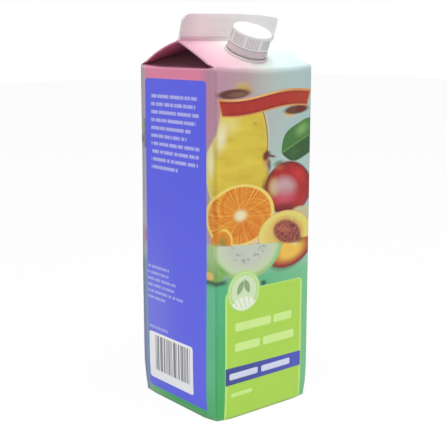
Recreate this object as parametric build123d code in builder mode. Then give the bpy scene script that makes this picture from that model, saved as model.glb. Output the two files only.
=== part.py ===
"""A one-litre gable-top juice carton with a screw cap on its front roof panel.

The folded board is one closed solid, because the carton is shut. The spout, the tamper band and
the cap are separate mouldings that stand on the roof panel, square to its slope.
Units are millimetres. +Z is up, -Y is the front with the cap, and the origin is the middle of the
square base, on the surface that the carton stands on.
"""

import os
from math import atan2, cos, degrees, radians, sin

from build123d import *

# Board
width = 70.0  # side of the square base, from crease to crease
wall_height = 199.5  # base to shoulder creases
board = 0.45  # thickness of one layer of coated board
crease_radius = 1.8  # rounding of the four upright creases
wall_swell = 1.2  # how far the drink pushes the middle of each wall out
wall_spans = 4  # lofted spans of a swollen wall

# Foot and folded base
foot_height = 8.0  # flat, unswollen band above the base
foot_radius = 1.6  # rounding of the fold between wall and base
base_rim = 4.0  # width of the rim that the carton stands on
base_lift = 1.2  # how far the folded base panels sit above the rim
base_lap = 6.0  # the outer base panel reaches this far past the middle

# Gable
shoulder_height = 8.0  # flat, unswollen band below the shoulder creases
shoulder_radius = 1.6  # rounding of the shoulder creases
ridge_rise = 14.9  # shoulder creases to the ridge
ridge_forward = 2.0  # the ridge lies this far in front of the middle
back_bow = 1.6  # how far the back roof panel bows outwards
gusset_web = 1.0  # half the board left between the two end pockets

# Sealed fin along the ridge
fin_layers = 4
fin_height = 15.3
fin_lean = 13.0  # degrees, towards the front
fin_setback = 0.6  # ends of the fin, back from the carton's sides
fin_taper = 1.0  # each end draws in by this much towards the top
fin_corner = 3.0

# Closure on the front roof panel
closure_up_slope = 18.4  # from the front shoulder crease to the closure's axis, along the panel
neck_radius = 9.2
collar_step = 1.7  # the collar stands out this far past the neck
collar_height = 1.2
flange_width = 1.8  # the flange stands out this far past the collar
flange_height = 0.9
lip_width = 1.1  # raised lip round the flange's edge
lip_height = 0.6
band_height = 3.7
band_flare = 0.3  # the band's foot is this much wider than the cap
band_gap = 0.25  # thin slot left by the tear bridges, above and below the band
neck_clearance = 0.1  # radial gap between the neck and what turns on it
cap_wall = 2.3  # the skirt and its thread
cap_height = 8.3
cap_taper = 0.3  # the skirt narrows by this much towards the top
cap_top = 1.5  # thickness of the cap's end wall
cap_edge = 0.8  # rounding of the cap's top edge

# Grip ribs on the cap's skirt
rib_groups = 8
ribs_in_group = 4
rib_pitch = 8.0  # degrees from rib to rib
rib_width = 0.75
rib_depth = 0.3
rib_margin = 1.2  # plain skirt above and below each rib
cap_turn = -9.5  # degrees that the first group lies round from the middle of the right-hand side

# Worked out from the sizes above
half = width / 2
flat_half = half - crease_radius
fin_thickness = fin_layers * board
ridge_y = -ridge_forward
ridge_z = wall_height + ridge_rise
wing = 2 * board  # a roof panel and the gusset folded flat against it
front_run = half - ridge_forward - fin_thickness / 2


def wall_outline(height, swell):
    """Draws the carton's rounded square at one height, its sides swollen outwards."""
    corner = half - crease_radius * (1 - cos(radians(45)))
    with BuildSketch(Plane.XY.offset(height), mode=Mode.PRIVATE) as outline:
        with BuildLine():
            for turn in range(0, 360, 90):
                start, middle, end, bend, following = (
                    Vector(x, y).rotate(Axis.Z, turn)
                    for x, y in (
                        (-flat_half, -half),
                        (0, -half - swell),
                        (flat_half, -half),
                        (corner, -corner),
                        (half, -flat_half),
                    )
                )
                if swell:
                    ThreePointArc(start, middle, end)
                else:
                    Line(start, end)
                ThreePointArc(end, bend, following)
        make_face()
    return outline.sketch.face()


def swell_at(share):
    """Swell of the walls at a share of their height: nothing at both ends, flat in the middle."""
    return wall_swell * (1 - (2 * share - 1) ** 4)


def gable_outline():
    """Draws the end of the gable, with a flat front roof panel and a bowed back one."""
    band_foot_z = wall_height - shoulder_height
    back_shoulder = (half, wall_height)
    ridge_back = (ridge_y + fin_thickness / 2, ridge_z)
    Polyline(
        back_shoulder,
        (half, band_foot_z),
        (-half, band_foot_z),
        (-half, wall_height),
        (ridge_y - fin_thickness / 2, ridge_z),
        ridge_back,
    )
    SagittaArc(ridge_back, back_shoulder, back_bow)


# Roof slopes over the flat band below the shoulders
with BuildPart() as gable:
    with BuildSketch(Plane.YZ) as gable_end:
        with BuildLine():
            gable_outline()
        make_face()
        fillet(gable_end.vertices().group_by(Axis.Y)[1], shoulder_radius)
    extrude(amount=half, both=True)
    with BuildSketch(Plane.XY.offset(wall_height - shoulder_height)):
        RectangleRounded(width, width, crease_radius)
    extrude(amount=shoulder_height + ridge_rise, mode=Mode.INTERSECT)

with BuildPart() as carton:
    # Foot
    with BuildSketch():
        RectangleRounded(width, width, crease_radius)
    extrude(amount=foot_height)
    fillet(carton.faces().sort_by(Axis.Z)[0].edges(), foot_radius)

    # Swollen walls
    wall_sections = []
    for span in range(wall_spans + 1):
        share = span / wall_spans
        rise = share * (wall_height - shoulder_height - foot_height)
        wall_sections.append(wall_outline(foot_height + rise, swell_at(share)))
    loft(wall_sections)

    add(gable.part)

    # Sealed fin, leaning forwards along the ridge
    lean = radians(fin_lean)
    fin_plane = Plane(
        origin=(0, ridge_y, ridge_z), x_dir=(1, 0, 0), z_dir=(0, -cos(lean), -sin(lean))
    )
    fin_foot = half - fin_setback
    with BuildSketch(fin_plane) as fin_outline:
        with BuildLine():
            Polyline(
                (-fin_foot, -board),
                (fin_foot, -board),
                (fin_foot - fin_taper, fin_height),
                (-fin_foot + fin_taper, fin_height),
                close=True,
            )
        make_face()
        fillet(fin_outline.vertices().group_by(Axis.Y)[-1], fin_corner)
    extrude(amount=fin_thickness / 2, both=True)

    # End pockets, where the side walls fold in under the roof
    for side in (-1, 1):
        with BuildSketch(Plane.YZ.offset(side * half), mode=Mode.PRIVATE) as pocket_mouth:
            with BuildLine():
                gable_outline()
            make_face()
            offset(amount=-wing, kind=Kind.INTERSECTION)
            with Locations((0, wall_height)):
                Rectangle(width, 2 * shoulder_height, align=(Align.CENTER, Align.MAX), mode=Mode.SUBTRACT)
        pocket_end = Vertex(side * gusset_web, ridge_y, ridge_z - wing)
        loft([pocket_mouth.sketch.face(), pocket_end], mode=Mode.SUBTRACT)

    # Base panels folded up inside the rim, the outer one lapped over the inner
    panel_half = half - base_rim
    with BuildSketch():
        Rectangle(2 * panel_half, 2 * panel_half)
    extrude(amount=base_lift, mode=Mode.SUBTRACT)
    with BuildSketch(Plane.XY.offset(base_lift)):
        with Locations((0, base_lap)):
            Rectangle(2 * panel_half, panel_half + base_lap, align=(Align.CENTER, Align.MAX))
    extrude(amount=-board)

carton.part.label = "carton"

# The closure's frame: its origin on the front roof panel, its axis square to the panel
slope = atan2(ridge_rise, front_run)
closure_axis = Vector(0, -sin(slope), cos(slope))
closure_origin = Vector(
    0, closure_up_slope * cos(slope) - half, closure_up_slope * sin(slope) + wall_height
)
turning_axis = Axis(closure_origin, closure_axis)

bore_radius = neck_radius + neck_clearance
cap_radius = bore_radius + cap_wall
collar_radius = neck_radius + collar_step
flange_radius = collar_radius + flange_width
collar_top = flange_height + collar_height
band_foot = collar_top + band_gap
cap_foot = band_foot + band_height + band_gap
cap_end = cap_foot + cap_height
neck_top = cap_end - cap_top


def section_at(turn):
    """Plane through the closure's axis, its X pointing outwards at an angle about that axis."""
    outwards = Vector(1, 0, 0).rotate(turning_axis, turn)
    return Plane(origin=closure_origin, x_dir=outwards, z_dir=outwards.cross(closure_axis))


def skirt_radius(height):
    """Radius of the cap's tapered skirt at a height above the roof panel."""
    return cap_radius - cap_taper * (height - cap_foot) / cap_height


# Spout: a lipped flange welded to the board, a collar, and the neck up to the cap's end wall
with BuildPart() as spout:
    with BuildSketch(section_at(0)):
        with BuildLine():
            Polyline(
                (0, 0),
                (flange_radius, 0),
                (flange_radius, flange_height + lip_height),
                (flange_radius - lip_width, flange_height + lip_height),
                (flange_radius - lip_width, flange_height),
                (collar_radius, flange_height),
                (collar_radius, collar_top),
                (neck_radius, collar_top),
                (neck_radius, neck_top),
                (0, neck_top),
                close=True,
            )
        make_face()
    revolve(axis=turning_axis)

spout.part.label = "spout"

# Tamper band: a plain ring round the neck, a little wider at its foot
with BuildPart() as tamper_band:
    with BuildSketch(section_at(0)):
        with BuildLine():
            Polyline(
                (bore_radius, band_foot),
                (cap_radius + band_flare, band_foot),
                (cap_radius, band_foot + band_height),
                (bore_radius, band_foot + band_height),
                close=True,
            )
        make_face()
    revolve(axis=turning_axis)

tamper_band.part.label = "tamper_band"


# Cap: a tapered cup with groups of grip ribs, closed over the neck
with BuildPart() as cap:
    with BuildSketch(section_at(0)) as cap_profile:
        with BuildLine():
            Polyline(
                (0, neck_top),
                (bore_radius, neck_top),
                (bore_radius, cap_foot),
                (cap_radius, cap_foot),
                (skirt_radius(cap_end), cap_end),
                (0, cap_end),
                close=True,
            )
        make_face()
        fillet(cap_profile.vertices().sort_by(Axis((0, 0, 0), (1, 1, 0)))[-1], cap_edge)
    revolve(axis=turning_axis)

    rib_foot = cap_foot + rib_margin
    rib_top = cap_end - rib_margin
    for group in range(rib_groups):
        group_turn = cap_turn + group * 360 / rib_groups
        for rib in range(ribs_in_group):
            rib_turn = group_turn + (rib - (ribs_in_group - 1) / 2) * rib_pitch
            with BuildSketch(section_at(rib_turn)):
                with BuildLine():
                    Polyline(
                        (skirt_radius(rib_foot) - rib_depth, rib_foot),
                        (skirt_radius(rib_foot), rib_foot),
                        (skirt_radius(rib_foot) + rib_depth, rib_foot + rib_depth),
                        (skirt_radius(rib_top) + rib_depth, rib_top - rib_depth),
                        (skirt_radius(rib_top), rib_top),
                        (skirt_radius(rib_top) - rib_depth, rib_top),
                        close=True,
                    )
                make_face()
            extrude(amount=rib_width / 2, both=True)

cap.part.label = "cap"

os.makedirs("parts", exist_ok=True)
for piece in (carton, spout, tamper_band, cap):
    export_step(piece.part, f"parts/{piece.part.label}.step")
    print(f"{piece.part.label}: {len(piece.part.solids())} solid, {piece.part.volume / 1000:.2f} ml")
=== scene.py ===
"""A one-litre gable-top juice carton: its folded, printed board and its white screw closure.

The board is folded from one blank. Its print is drawn on the flat blank, in millimetres, and
wraps round the carton with the board: two picture panels and two panels of notes.
"""

from __future__ import annotations

import logging
from dataclasses import dataclass
from enum import Enum
from math import atan2, cos, degrees, hypot, pi, radians, sin, tan
from typing import Callable, Optional, Union

import bmesh
import bpy
from bpy.types import Material, Object, World
from mathutils import Matrix, Vector


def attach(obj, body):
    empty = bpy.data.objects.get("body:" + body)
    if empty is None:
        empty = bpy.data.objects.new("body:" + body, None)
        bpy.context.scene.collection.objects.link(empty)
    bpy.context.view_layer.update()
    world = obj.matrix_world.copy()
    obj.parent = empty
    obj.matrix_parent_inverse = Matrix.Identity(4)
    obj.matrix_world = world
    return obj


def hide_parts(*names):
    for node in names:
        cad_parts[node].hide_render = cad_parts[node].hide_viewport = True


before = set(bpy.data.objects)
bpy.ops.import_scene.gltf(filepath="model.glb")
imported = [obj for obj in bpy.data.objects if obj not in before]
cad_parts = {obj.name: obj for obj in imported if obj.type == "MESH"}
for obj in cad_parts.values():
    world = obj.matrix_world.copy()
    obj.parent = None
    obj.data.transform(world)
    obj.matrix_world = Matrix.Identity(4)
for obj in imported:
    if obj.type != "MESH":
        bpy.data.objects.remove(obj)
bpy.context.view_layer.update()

MM = 0.001
FINE = 0.001 * MM
SLACK = 0.01 * MM
WELD = 0.008 * MM
PANEL_WIDTH = 70.0
BLANK = "Blank"
TURNED = "Turned"
FRONT_GAIN = 1.06
SIDE_GAIN = 1.19
ORIGIN = Vector((0, 0, 0))
UP = Vector((0, 0, 1))
LOG = logging.getLogger("juice_carton")
Pair = tuple[float, float]
Triple = tuple[float, float, float]
Colour = Triple


class Element(Enum):
    """The kinds of mesh element that a selection can hold."""

    VERTEX = "VERT"
    EDGE = "EDGE"
    FACE = "FACE"


class Panel(Enum):
    """The blank's panels, each with the place of its middle along the blank, in mm."""

    LEFT = 0.5 * PANEL_WIDTH
    FRONT = 1.5 * PANEL_WIDTH
    RIGHT = 2.5 * PANEL_WIDTH
    BACK = 3.5 * PANEL_WIDTH


def smooth(share: float) -> float:
    """Eases a share between 0 and 1, held at both ends."""
    share = min(max(share, 0.0), 1.0)
    return share * share * (3 - 2 * share)


class Workpiece:
    """A mesh on the bench: selected by place, shaped with edit-mode operators."""

    def __init__(self, name: str, add: Callable[[], None]) -> None:
        """Adds a primitive and opens it for editing.

        Args:
            name: Name of the piece.
            add: Adds the primitive at its size and place.
        """
        bpy.ops.object.select_all(action="DESELECT")
        add()
        self.item = bpy.context.object
        self.item.name = name
        self.item.data.name = name
        bpy.ops.object.transform_apply(location=True, rotation=True, scale=True)
        bpy.ops.object.mode_set(mode="EDIT")
        bpy.ops.mesh.select_all(action="DESELECT")

    def pick(self, kind: Element, test: Callable[..., bool]) -> None:
        """Selects the elements that pass a test, and nothing else.

        Args:
            kind: What to select.
            test: Takes a vertex's place, an edge's two ends, or a face's centre and normal.
        """
        bpy.ops.mesh.select_mode(type=kind.value)
        bpy.ops.mesh.select_all(action="DESELECT")
        mesh = bmesh.from_edit_mesh(self.item.data)
        mesh.normal_update()
        views = {
            Element.VERTEX: (mesh.verts, lambda vertex: (vertex.co,)),
            Element.EDGE: (mesh.edges, lambda edge: tuple(end.co for end in edge.verts)),
            Element.FACE: (mesh.faces, lambda face: (face.calc_center_median(), face.normal)),
        }
        elements, facts = views[kind]
        for element in [element for element in elements if test(*facts(element))]:
            element.select_set(True)
        mesh.select_flush_mode()
        bmesh.update_edit_mesh(self.item.data)

    def cut(self, point: Vector, normal: Vector, whole: bool = False, drop: bool = False) -> None:
        """Cuts faces along a plane.

        Args:
            point: A point on the plane.
            normal: The plane's normal.
            whole: Cuts every face, and not only the selected ones.
            drop: Removes what lies on the normal's side, and closes the cut.
        """
        if whole:
            bpy.ops.mesh.select_mode(type="FACE")
            bpy.ops.mesh.select_all(action="SELECT")
        bpy.ops.mesh.bisect(
            plane_co=point, plane_no=normal, use_fill=drop, clear_outer=drop, threshold=1e-7
        )

    def bevel(self, width: float, steps: int) -> None:
        """Rounds the selected edges."""
        bpy.ops.mesh.bevel(offset=width, segments=steps, affect="EDGES", clamp_overlap=True)

    def extrude(self, move: Vector) -> None:
        """Extrudes the selected faces as one region and moves them."""
        bpy.ops.mesh.extrude_region_move(TRANSFORM_OT_translate={"value": move})

    def scale(self, factors: Vector, centre: Vector) -> None:
        """Scales what is selected about a point."""
        bpy.ops.transform.resize(value=factors, center_override=centre)

    def shift(self, move: Callable[[Vector], Vector]) -> None:
        """Moves every vertex by a formula of its place.

        Args:
            move: Takes a vertex's place and gives its move.
        """
        mesh = bmesh.from_edit_mesh(self.item.data)
        for vertex in mesh.verts:
            vertex.co += move(vertex.co)
        bmesh.update_edit_mesh(self.item.data)

    def close(self) -> Object:
        """Merges doubles, turns the normals outwards and leaves edit mode.

        Returns:
            The finished mesh's object.
        """
        bpy.ops.mesh.select_mode(type="VERT")
        bpy.ops.mesh.select_all(action="SELECT")
        bpy.ops.mesh.remove_doubles(threshold=FINE)
        bpy.ops.mesh.normals_make_consistent(inside=False)
        bpy.ops.object.mode_set(mode="OBJECT")
        return self.item


def activate(item: Object) -> None:
    """Selects a piece alone and makes it the active one.

    Args:
        item: The piece.
    """
    bpy.ops.object.select_all(action="DESELECT")
    item.select_set(True)
    bpy.context.view_layer.objects.active = item


def soften(item: Object, width: float, steps: int, angle: float) -> None:
    """Rounds a piece's sharp edges with an applied Bevel modifier and smooths its faces.

    Where the rounding runs out, it leaves points on top of each other. They are merged.

    Args:
        item: The piece.
        width: Width of the rounding.
        steps: Segments across it.
        angle: Only edges that turn by more than this are rounded, in degrees.
    """
    activate(item)
    rounding = item.modifiers.new("rounding", "BEVEL")
    rounding.width = width
    rounding.segments = steps
    rounding.limit_method = "ANGLE"
    rounding.angle_limit = radians(angle)
    rounding.use_clamp_overlap = True
    bpy.ops.object.modifier_apply(modifier=rounding.name)
    bpy.ops.object.mode_set(mode="EDIT")
    bpy.ops.mesh.select_all(action="SELECT")
    bpy.ops.mesh.remove_doubles(threshold=WELD)
    bpy.ops.mesh.dissolve_degenerate(threshold=WELD)
    bpy.ops.object.mode_set(mode="OBJECT")
    bpy.ops.object.shade_smooth_by_angle(angle=radians(angle + 8))


def fresh_map(mesh: bpy.types.Mesh, name: str) -> bpy.types.MeshUVLoopLayer:
    """Gives a mesh one empty UV map, in place of those it has.

    Args:
        mesh: The mesh.
        name: The map's name.

    Returns:
        The map.
    """
    for stale in list(mesh.uv_layers):
        mesh.uv_layers.remove(stale)
    return mesh.uv_layers.new(name=name)


class Signal:
    """A shader socket with arithmetic: numbers go through Math, vectors through Vector Math."""

    def __init__(self, tree: Tree, socket: bpy.types.NodeSocket) -> None:
        """Wraps an output socket of a tree."""
        self.tree = tree
        self.socket = socket

    def math(self, operation: str, first: Operand, second: Operand = 0.0) -> Signal:
        """Adds a Math or Vector Math node.

        Args:
            operation: The node's operation.
            first: Its first operand.
            second: Its second operand.

        Returns:
            The node's result.
        """
        vector = any(
            side.socket.type != "VALUE" if isinstance(side, Signal) else isinstance(side, tuple)
            for side in (first, second)
        )
        kind = "ShaderNodeVectorMath" if vector else "ShaderNodeMath"
        return self.tree.node(kind, {"operation": operation}, {0: first, 1: second})

    def __add__(self, other: Operand) -> Signal:
        """Adds."""
        return self.math("ADD", self, other)

    def __radd__(self, other: Operand) -> Signal:
        """Adds, from the right."""
        return self.math("ADD", other, self)

    def __sub__(self, other: Operand) -> Signal:
        """Subtracts."""
        return self.math("SUBTRACT", self, other)

    def __rsub__(self, other: Operand) -> Signal:
        """Subtracts from something else."""
        return self.math("SUBTRACT", other, self)

    def __mul__(self, other: Operand) -> Signal:
        """Multiplies."""
        return self.math("MULTIPLY", self, other)

    def __rmul__(self, other: Operand) -> Signal:
        """Multiplies, from the right."""
        return self.math("MULTIPLY", other, self)

    def __truediv__(self, other: Operand) -> Signal:
        """Divides."""
        return self.math("DIVIDE", self, other)

    def __mod__(self, other: Operand) -> Signal:
        """Takes the floored remainder."""
        return self.math("FLOORED_MODULO", self, other)

    def __abs__(self) -> Signal:
        """Takes the size without the sign."""
        return self.math("ABSOLUTE", self)

    def greatest(self, other: Operand) -> Signal:
        """Takes the greater of the two."""
        return self.math("MAXIMUM", self, other)

    def other(self, output: Union[int, str]) -> Signal:
        """Takes another output of the same node."""
        return Signal(self.tree, self.socket.node.outputs[output])

    def step(self, start: float, end: float, eased: bool = False) -> Signal:
        """Rises from 0 at start to 1 at end, which may lie below it.

        Args:
            start: Where the result is 0.
            end: Where it is 1.
            eased: Eases both ends of the rise.

        Returns:
            The share between 0 and 1.
        """
        settings = {"clamp": True, "interpolation_type": "SMOOTHSTEP" if eased else "LINEAR"}
        low, high, first, last = (start, end, 0.0, 1.0) if start < end else (end, start, 1.0, 0.0)
        return self.tree.node(
            "ShaderNodeMapRange", settings, {0: self, 1: low, 2: high, 3: first, 4: last}
        )


Operand = Union[Signal, float, Colour]


class Tree:
    """The node tree of a material or of the world: its shader, and one way of adding nodes."""

    def __init__(self, owner: Union[Material, World]) -> None:
        """Starts with the shader that a new material or world has.

        Args:
            owner: The material or the world.
        """
        owner.use_nodes = True
        self.owner = owner
        self.nodes = owner.node_tree.nodes
        self.shader = self.nodes.get("Principled BSDF") or self.nodes["Background"]

    def node(
        self,
        kind: str,
        settings: Optional[dict[str, object]] = None,
        inputs: Optional[dict[Union[int, str], Operand]] = None,
        output: Union[int, str] = 0,
    ) -> Signal:
        """Adds a node.

        Args:
            kind: The node's type.
            settings: Its settings, among them a ramp's stops.
            inputs: Values or links of its sockets.
            output: Which of its outputs to take.

        Returns:
            That output.
        """
        made = self.nodes.new(kind)
        for key, setting in (settings or {}).items():
            if key == "stops":
                self.set_stops(made.color_ramp, setting)
            elif key == "interpolation" and hasattr(made, "color_ramp"):
                made.color_ramp.interpolation = setting
            else:
                setattr(made, key, setting)
        for key, operand in (inputs or {}).items():
            self.feed(made.inputs[key], operand)
        return Signal(self, made.outputs[output])

    def set_stops(self, ramp: bpy.types.ColorRamp, stops: list[tuple[float, Colour]]) -> None:
        """Gives a ramp its stops.

        Args:
            ramp: The ramp.
            stops: Its places and colours, in order.
        """
        while len(ramp.elements) < len(stops):
            ramp.elements.new(1.0)
        for element, (place, colour) in zip(ramp.elements, stops):
            element.position = place
            element.color = (*colour, 1.0)

    def feed(self, socket: bpy.types.NodeSocket, operand: Operand) -> None:
        """Links a signal to a socket, or sets a constant on it.

        Args:
            socket: The input socket.
            operand: The signal or the constant.
        """
        if isinstance(operand, Signal):
            self.owner.node_tree.links.new(operand.socket, socket)
        elif socket.type == "VALUE":
            socket.default_value = operand
        elif isinstance(operand, (int, float)):
            socket.default_value = (operand,) * len(socket.default_value)
        else:
            socket.default_value = (*operand, 1.0)[: len(socket.default_value)]

    def split(self, vector: Signal) -> Signal:
        """Takes a vector's first part, whose other outputs are the second and the third."""
        return self.node("ShaderNodeSeparateXYZ", {}, {0: vector})

    def object_place(self) -> Signal:
        """Reads the place on the piece, in metres."""
        return self.node("ShaderNodeTexCoord", {}, {}, "Object")

    def mix(self, mask: Operand, below: Operand, above: Operand) -> Signal:
        """Mixes two colours: below where the mask is 0, above where it is 1."""
        return self.node("ShaderNodeMix", {"data_type": "RGBA"}, {0: mask, 6: below, 7: above}, 2)

    def ramp(self, share: Signal, stops: list[tuple[float, Colour]], hold: bool = False) -> Signal:
        """Reads a colour ramp.

        Args:
            share: Where to read, from 0 to 1.
            stops: Its places and colours.
            hold: Holds each colour until the next stop.

        Returns:
            The colour.
        """
        settings = {"interpolation": "CONSTANT" if hold else "LINEAR", "stops": stops}
        return self.node("ShaderNodeValToRGB", settings, {0: share})

    def noise(self, place: Signal, scale: float, detail: float = 2.0, rough: float = 0.5) -> Signal:
        """Reads a noise pattern at a place, from 0 to 1."""
        inputs = {"Vector": place, "Scale": scale, "Detail": detail, "Roughness": rough}
        return self.node("ShaderNodeTexNoise", {}, inputs)

    def stretched(
        self, place: Signal, scale: Triple, detail: float = 2.0, rough: float = 0.5
    ) -> Signal:
        """Reads a noise pattern that is finer along some axes than along others."""
        inputs = {"Vector": place, "Scale": scale}
        return self.noise(self.node("ShaderNodeMapping", {}, inputs), 1.0, detail, rough)

    def flicker(self, spot: Signal, detail: float = 0.0) -> Signal:
        """Reads a noise along a line, from 0 to 1."""
        inputs = {"W": spot, "Scale": 1.0, "Detail": detail}
        return self.node("ShaderNodeTexNoise", {"noise_dimensions": "1D"}, inputs)

    def bump(
        self, height: Signal, distance: float, strength: float, below: Optional[Signal] = None
    ) -> Signal:
        """Turns heights into a normal.

        Args:
            height: The heights, from 0 to 1.
            distance: What a height of 1 stands for, in metres.
            strength: How strongly the normal follows.
            below: A normal to lay this one on.

        Returns:
            The normal.
        """
        inputs = {"Strength": strength, "Distance": distance, "Height": height}
        if below:
            inputs["Normal"] = below
        return self.node("ShaderNodeBump", {}, inputs)

    def finish(self, **sockets: Operand) -> Union[Material, World]:
        """Feeds the shader.

        Args:
            sockets: Values or links of its sockets, which are named with underscores.

        Returns:
            The material or the world.
        """
        for name, operand in sockets.items():
            self.feed(self.shader.inputs[name.replace("_", " ")], operand)
        return self.owner


def ink(red: int, green: int, blue: int, gain: float = 1.0) -> Colour:
    """A printing ink, as a linear colour.

    Args:
        red: Its red as displayed, up to 255.
        green: Its green.
        blue: Its blue.
        gain: How much lighter it is printed than it shows on a wall that the light grazes.

    Returns:
        The linear colour.
    """
    lightest = 0.93
    shares = (value / 255 for value in (red, green, blue))
    linear = (
        share / 12.92 if share <= 0.04045 else ((share + 0.055) / 1.055) ** 2.4 for share in shares
    )
    return tuple(min(share * gain, lightest) for share in linear)


def front_ink(red: int, green: int, blue: int) -> Colour:
    """An ink of the front panel, where the light falls at a slant."""
    return ink(red, green, blue, FRONT_GAIN)


def side_ink(red: int, green: int, blue: int) -> Colour:
    """An ink of the left panel, which the light only grazes."""
    return ink(red, green, blue, SIDE_GAIN)


@dataclass(frozen=True)
class Dab:
    """A soft oval dab of ink: its colour, where it lies in mm, and how strong it is."""

    colour: Colour
    middle: Pair
    size: Pair
    strength: float = 1.0
    turn: float = 0.0
    core: float = 0.0


class Drawing:
    """Artwork in layers, drawn in millimetres on a flat place."""

    def __init__(
        self,
        tree: Tree,
        place: Signal,
        ground: Optional[Signal] = None,
        point: Optional[Signal] = None,
    ) -> None:
        """Starts on a ground.

        Args:
            tree: The material's tree.
            place: Where on the blank, in mm: across, up, and 1.
            ground: The ground's colour.
            point: The same place for noises.
        """
        self.tree = tree
        self.place = place
        self.colour = ground
        self.point = point
        self.across = self.weigh((1.0, 0.0, 0.0))
        self.up = self.weigh((0.0, 1.0, 0.0))

    def weigh(self, weights: Triple) -> Signal:
        """A weighted sum of across, up and 1."""
        settings, inputs = {"operation": "DOT_PRODUCT"}, {0: self.place, 1: weights}
        return self.tree.node("ShaderNodeVectorMath", settings, inputs, "Value")

    def local(self, centre: Pair, size: Pair, turn: float = 0.0) -> tuple[Signal, Signal]:
        """A shape's own coordinates, where its middle is 0 and its edge is 1.

        Args:
            centre: The shape's middle, in mm.
            size: Half its width and half its height.
            turn: How far it leans anticlockwise, in degrees.

        Returns:
            The local place, along its width and along its height.
        """
        along, aside = cos(radians(turn)), sin(radians(turn))
        first = (along / size[0], aside / size[0])
        second = (-aside / size[1], along / size[1])
        return tuple(
            self.weigh((*weights, -weights[0] * centre[0] - weights[1] * centre[1]))
            for weights in (first, second)
        )

    def join(self, first: Signal, second: Signal) -> Signal:
        """Joins two numbers to a vector."""
        return self.tree.node("ShaderNodeCombineXYZ", {}, {0: first, 1: second})

    def length(self, place: Signal) -> Signal:
        """The length of a vector."""
        return self.tree.node("ShaderNodeVectorMath", {"operation": "LENGTH"}, {0: place}, "Value")

    def angle(self, across: Signal, up: Signal) -> Signal:
        """The direction of a place, in radians from the right."""
        return self.tree.node("ShaderNodeMath", {"operation": "ARCTAN2"}, {0: up, 1: across})

    def reach(self, centre: Pair, size: Pair, turn: float = 0.0) -> Signal:
        """How far out of a shape's middle a place is: 1 at its edge.

        Args:
            centre: The shape's middle, in mm.
            size: Half its width and half its height.
            turn: How far it leans anticlockwise, in degrees.

        Returns:
            The distance, as a share of the shape's size.
        """
        if turn:
            return self.length(self.join(*self.local(centre, size, turn)))
        scale = (1 / size[0], 1 / size[1], 0.0)
        offset = (-centre[0] / size[0], -centre[1] / size[1], 0.0)
        settings, inputs = {"operation": "MULTIPLY_ADD"}, {0: self.place, 1: scale, 2: offset}
        return self.length(self.tree.node("ShaderNodeVectorMath", settings, inputs))

    def oval(self, centre: Pair, size: Pair, turn: float = 0.0, edge: float = 0.25) -> Signal:
        """The mask of an oval.

        Args:
            centre: Its middle, in mm.
            size: Half its width and half its height.
            turn: How far it leans anticlockwise, in degrees.
            edge: Half the width of its soft edge, in mm.

        Returns:
            The mask.
        """
        soft = edge / min(size)
        return self.reach(centre, size, turn).step(1 + soft, 1 - soft)

    def glow(self, centre: Pair, size: Pair, turn: float = 0.0, core: float = 0.0) -> Signal:
        """The mask of a soft oval that fades from its core, a share of its size, to its edge."""
        return self.reach(centre, size, turn).step(1.0, core, eased=True)

    def block(self, centre: Pair, size: Pair, corner: float = 0.5, edge: float = 0.15) -> Signal:
        """The mask of an upright block with rounded corners.

        Args:
            centre: Its middle, in mm.
            size: Half its width and half its height.
            corner: The radius of its corners.
            edge: Half the width of its soft edge.

        Returns:
            The mask.
        """
        place = self.join(*self.local(centre, (1.0, 1.0)))
        inner = (size[0] - corner, size[1] - corner, 0.0)
        outside = (abs(place) - inner).greatest((0.0, 0.0, 0.0))
        return self.length(outside).step(corner + edge, corner - edge)

    def shade(self, colour: Operand, *dabs: Dab) -> Operand:
        """Works dabs into a colour, one after the other.

        Args:
            colour: The colour to start from.
            dabs: The dabs.

        Returns:
            The shaded colour.
        """
        for dab in dabs:
            mask = self.glow(dab.middle, dab.size, dab.turn, dab.core)
            if dab.strength != 1.0:
                mask = mask * dab.strength
            colour = self.tree.mix(mask, colour, dab.colour)
        return colour

    def lay(self, colour: Operand, mask: Operand) -> None:
        """Lays a colour over the drawing where the mask is."""
        self.colour = self.tree.mix(mask, self.colour, colour)

    def dab(self, *dabs: Dab) -> None:
        """Lays dabs over the drawing, one after the other."""
        self.colour = self.shade(self.colour, *dabs)


@dataclass(frozen=True)
class Blank:
    """Where the print lies along the blank, in mm: every second panel has the same picture."""

    panel: float = PANEL_WIDTH
    repeat: float = 2 * PANEL_WIDTH
    picture_start: float = 32.0
    picture_middle: float = 73.0
    offset: float = 1.0
    above_one: float = 1.00001

    def place(self, tree: Tree) -> tuple[Signal, Signal, Signal]:
        """Reads the picture's place: across and up from the front panel's middle.

        The Mapping node and the factor just above one keep the place apart from the map that it
        is read from. The renderer then works out each shape from it as it needs them, and
        doesn't run out of room for their numbers.

        Args:
            tree: The material's tree.

        Returns:
            The place as a texture point, the same as a vector, and how far along the blank it is.
        """
        along = tree.split(tree.node("ShaderNodeUVMap", {"uv_map": BLANK}))
        up = along.other(1)
        across = (along - self.picture_start) % self.repeat - (self.picture_middle + self.offset)
        beyond = along - across
        combined = tree.node("ShaderNodeCombineXYZ", {}, {0: across, 1: up, 2: 1.0})
        inputs = {"Vector": combined, "Location": (self.offset, 0.0, 0.0)}
        point = tree.node("ShaderNodeMapping", {}, inputs)
        vector = point * (1.0, 1.0, self.above_one)
        settings = {"operation": "DOT_PRODUCT"}
        late = tree.node("ShaderNodeVectorMath", settings, {0: vector, 1: (1.0, 0.0, 0.0)}, "Value")
        return point, vector, beyond + late - self.offset


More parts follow.
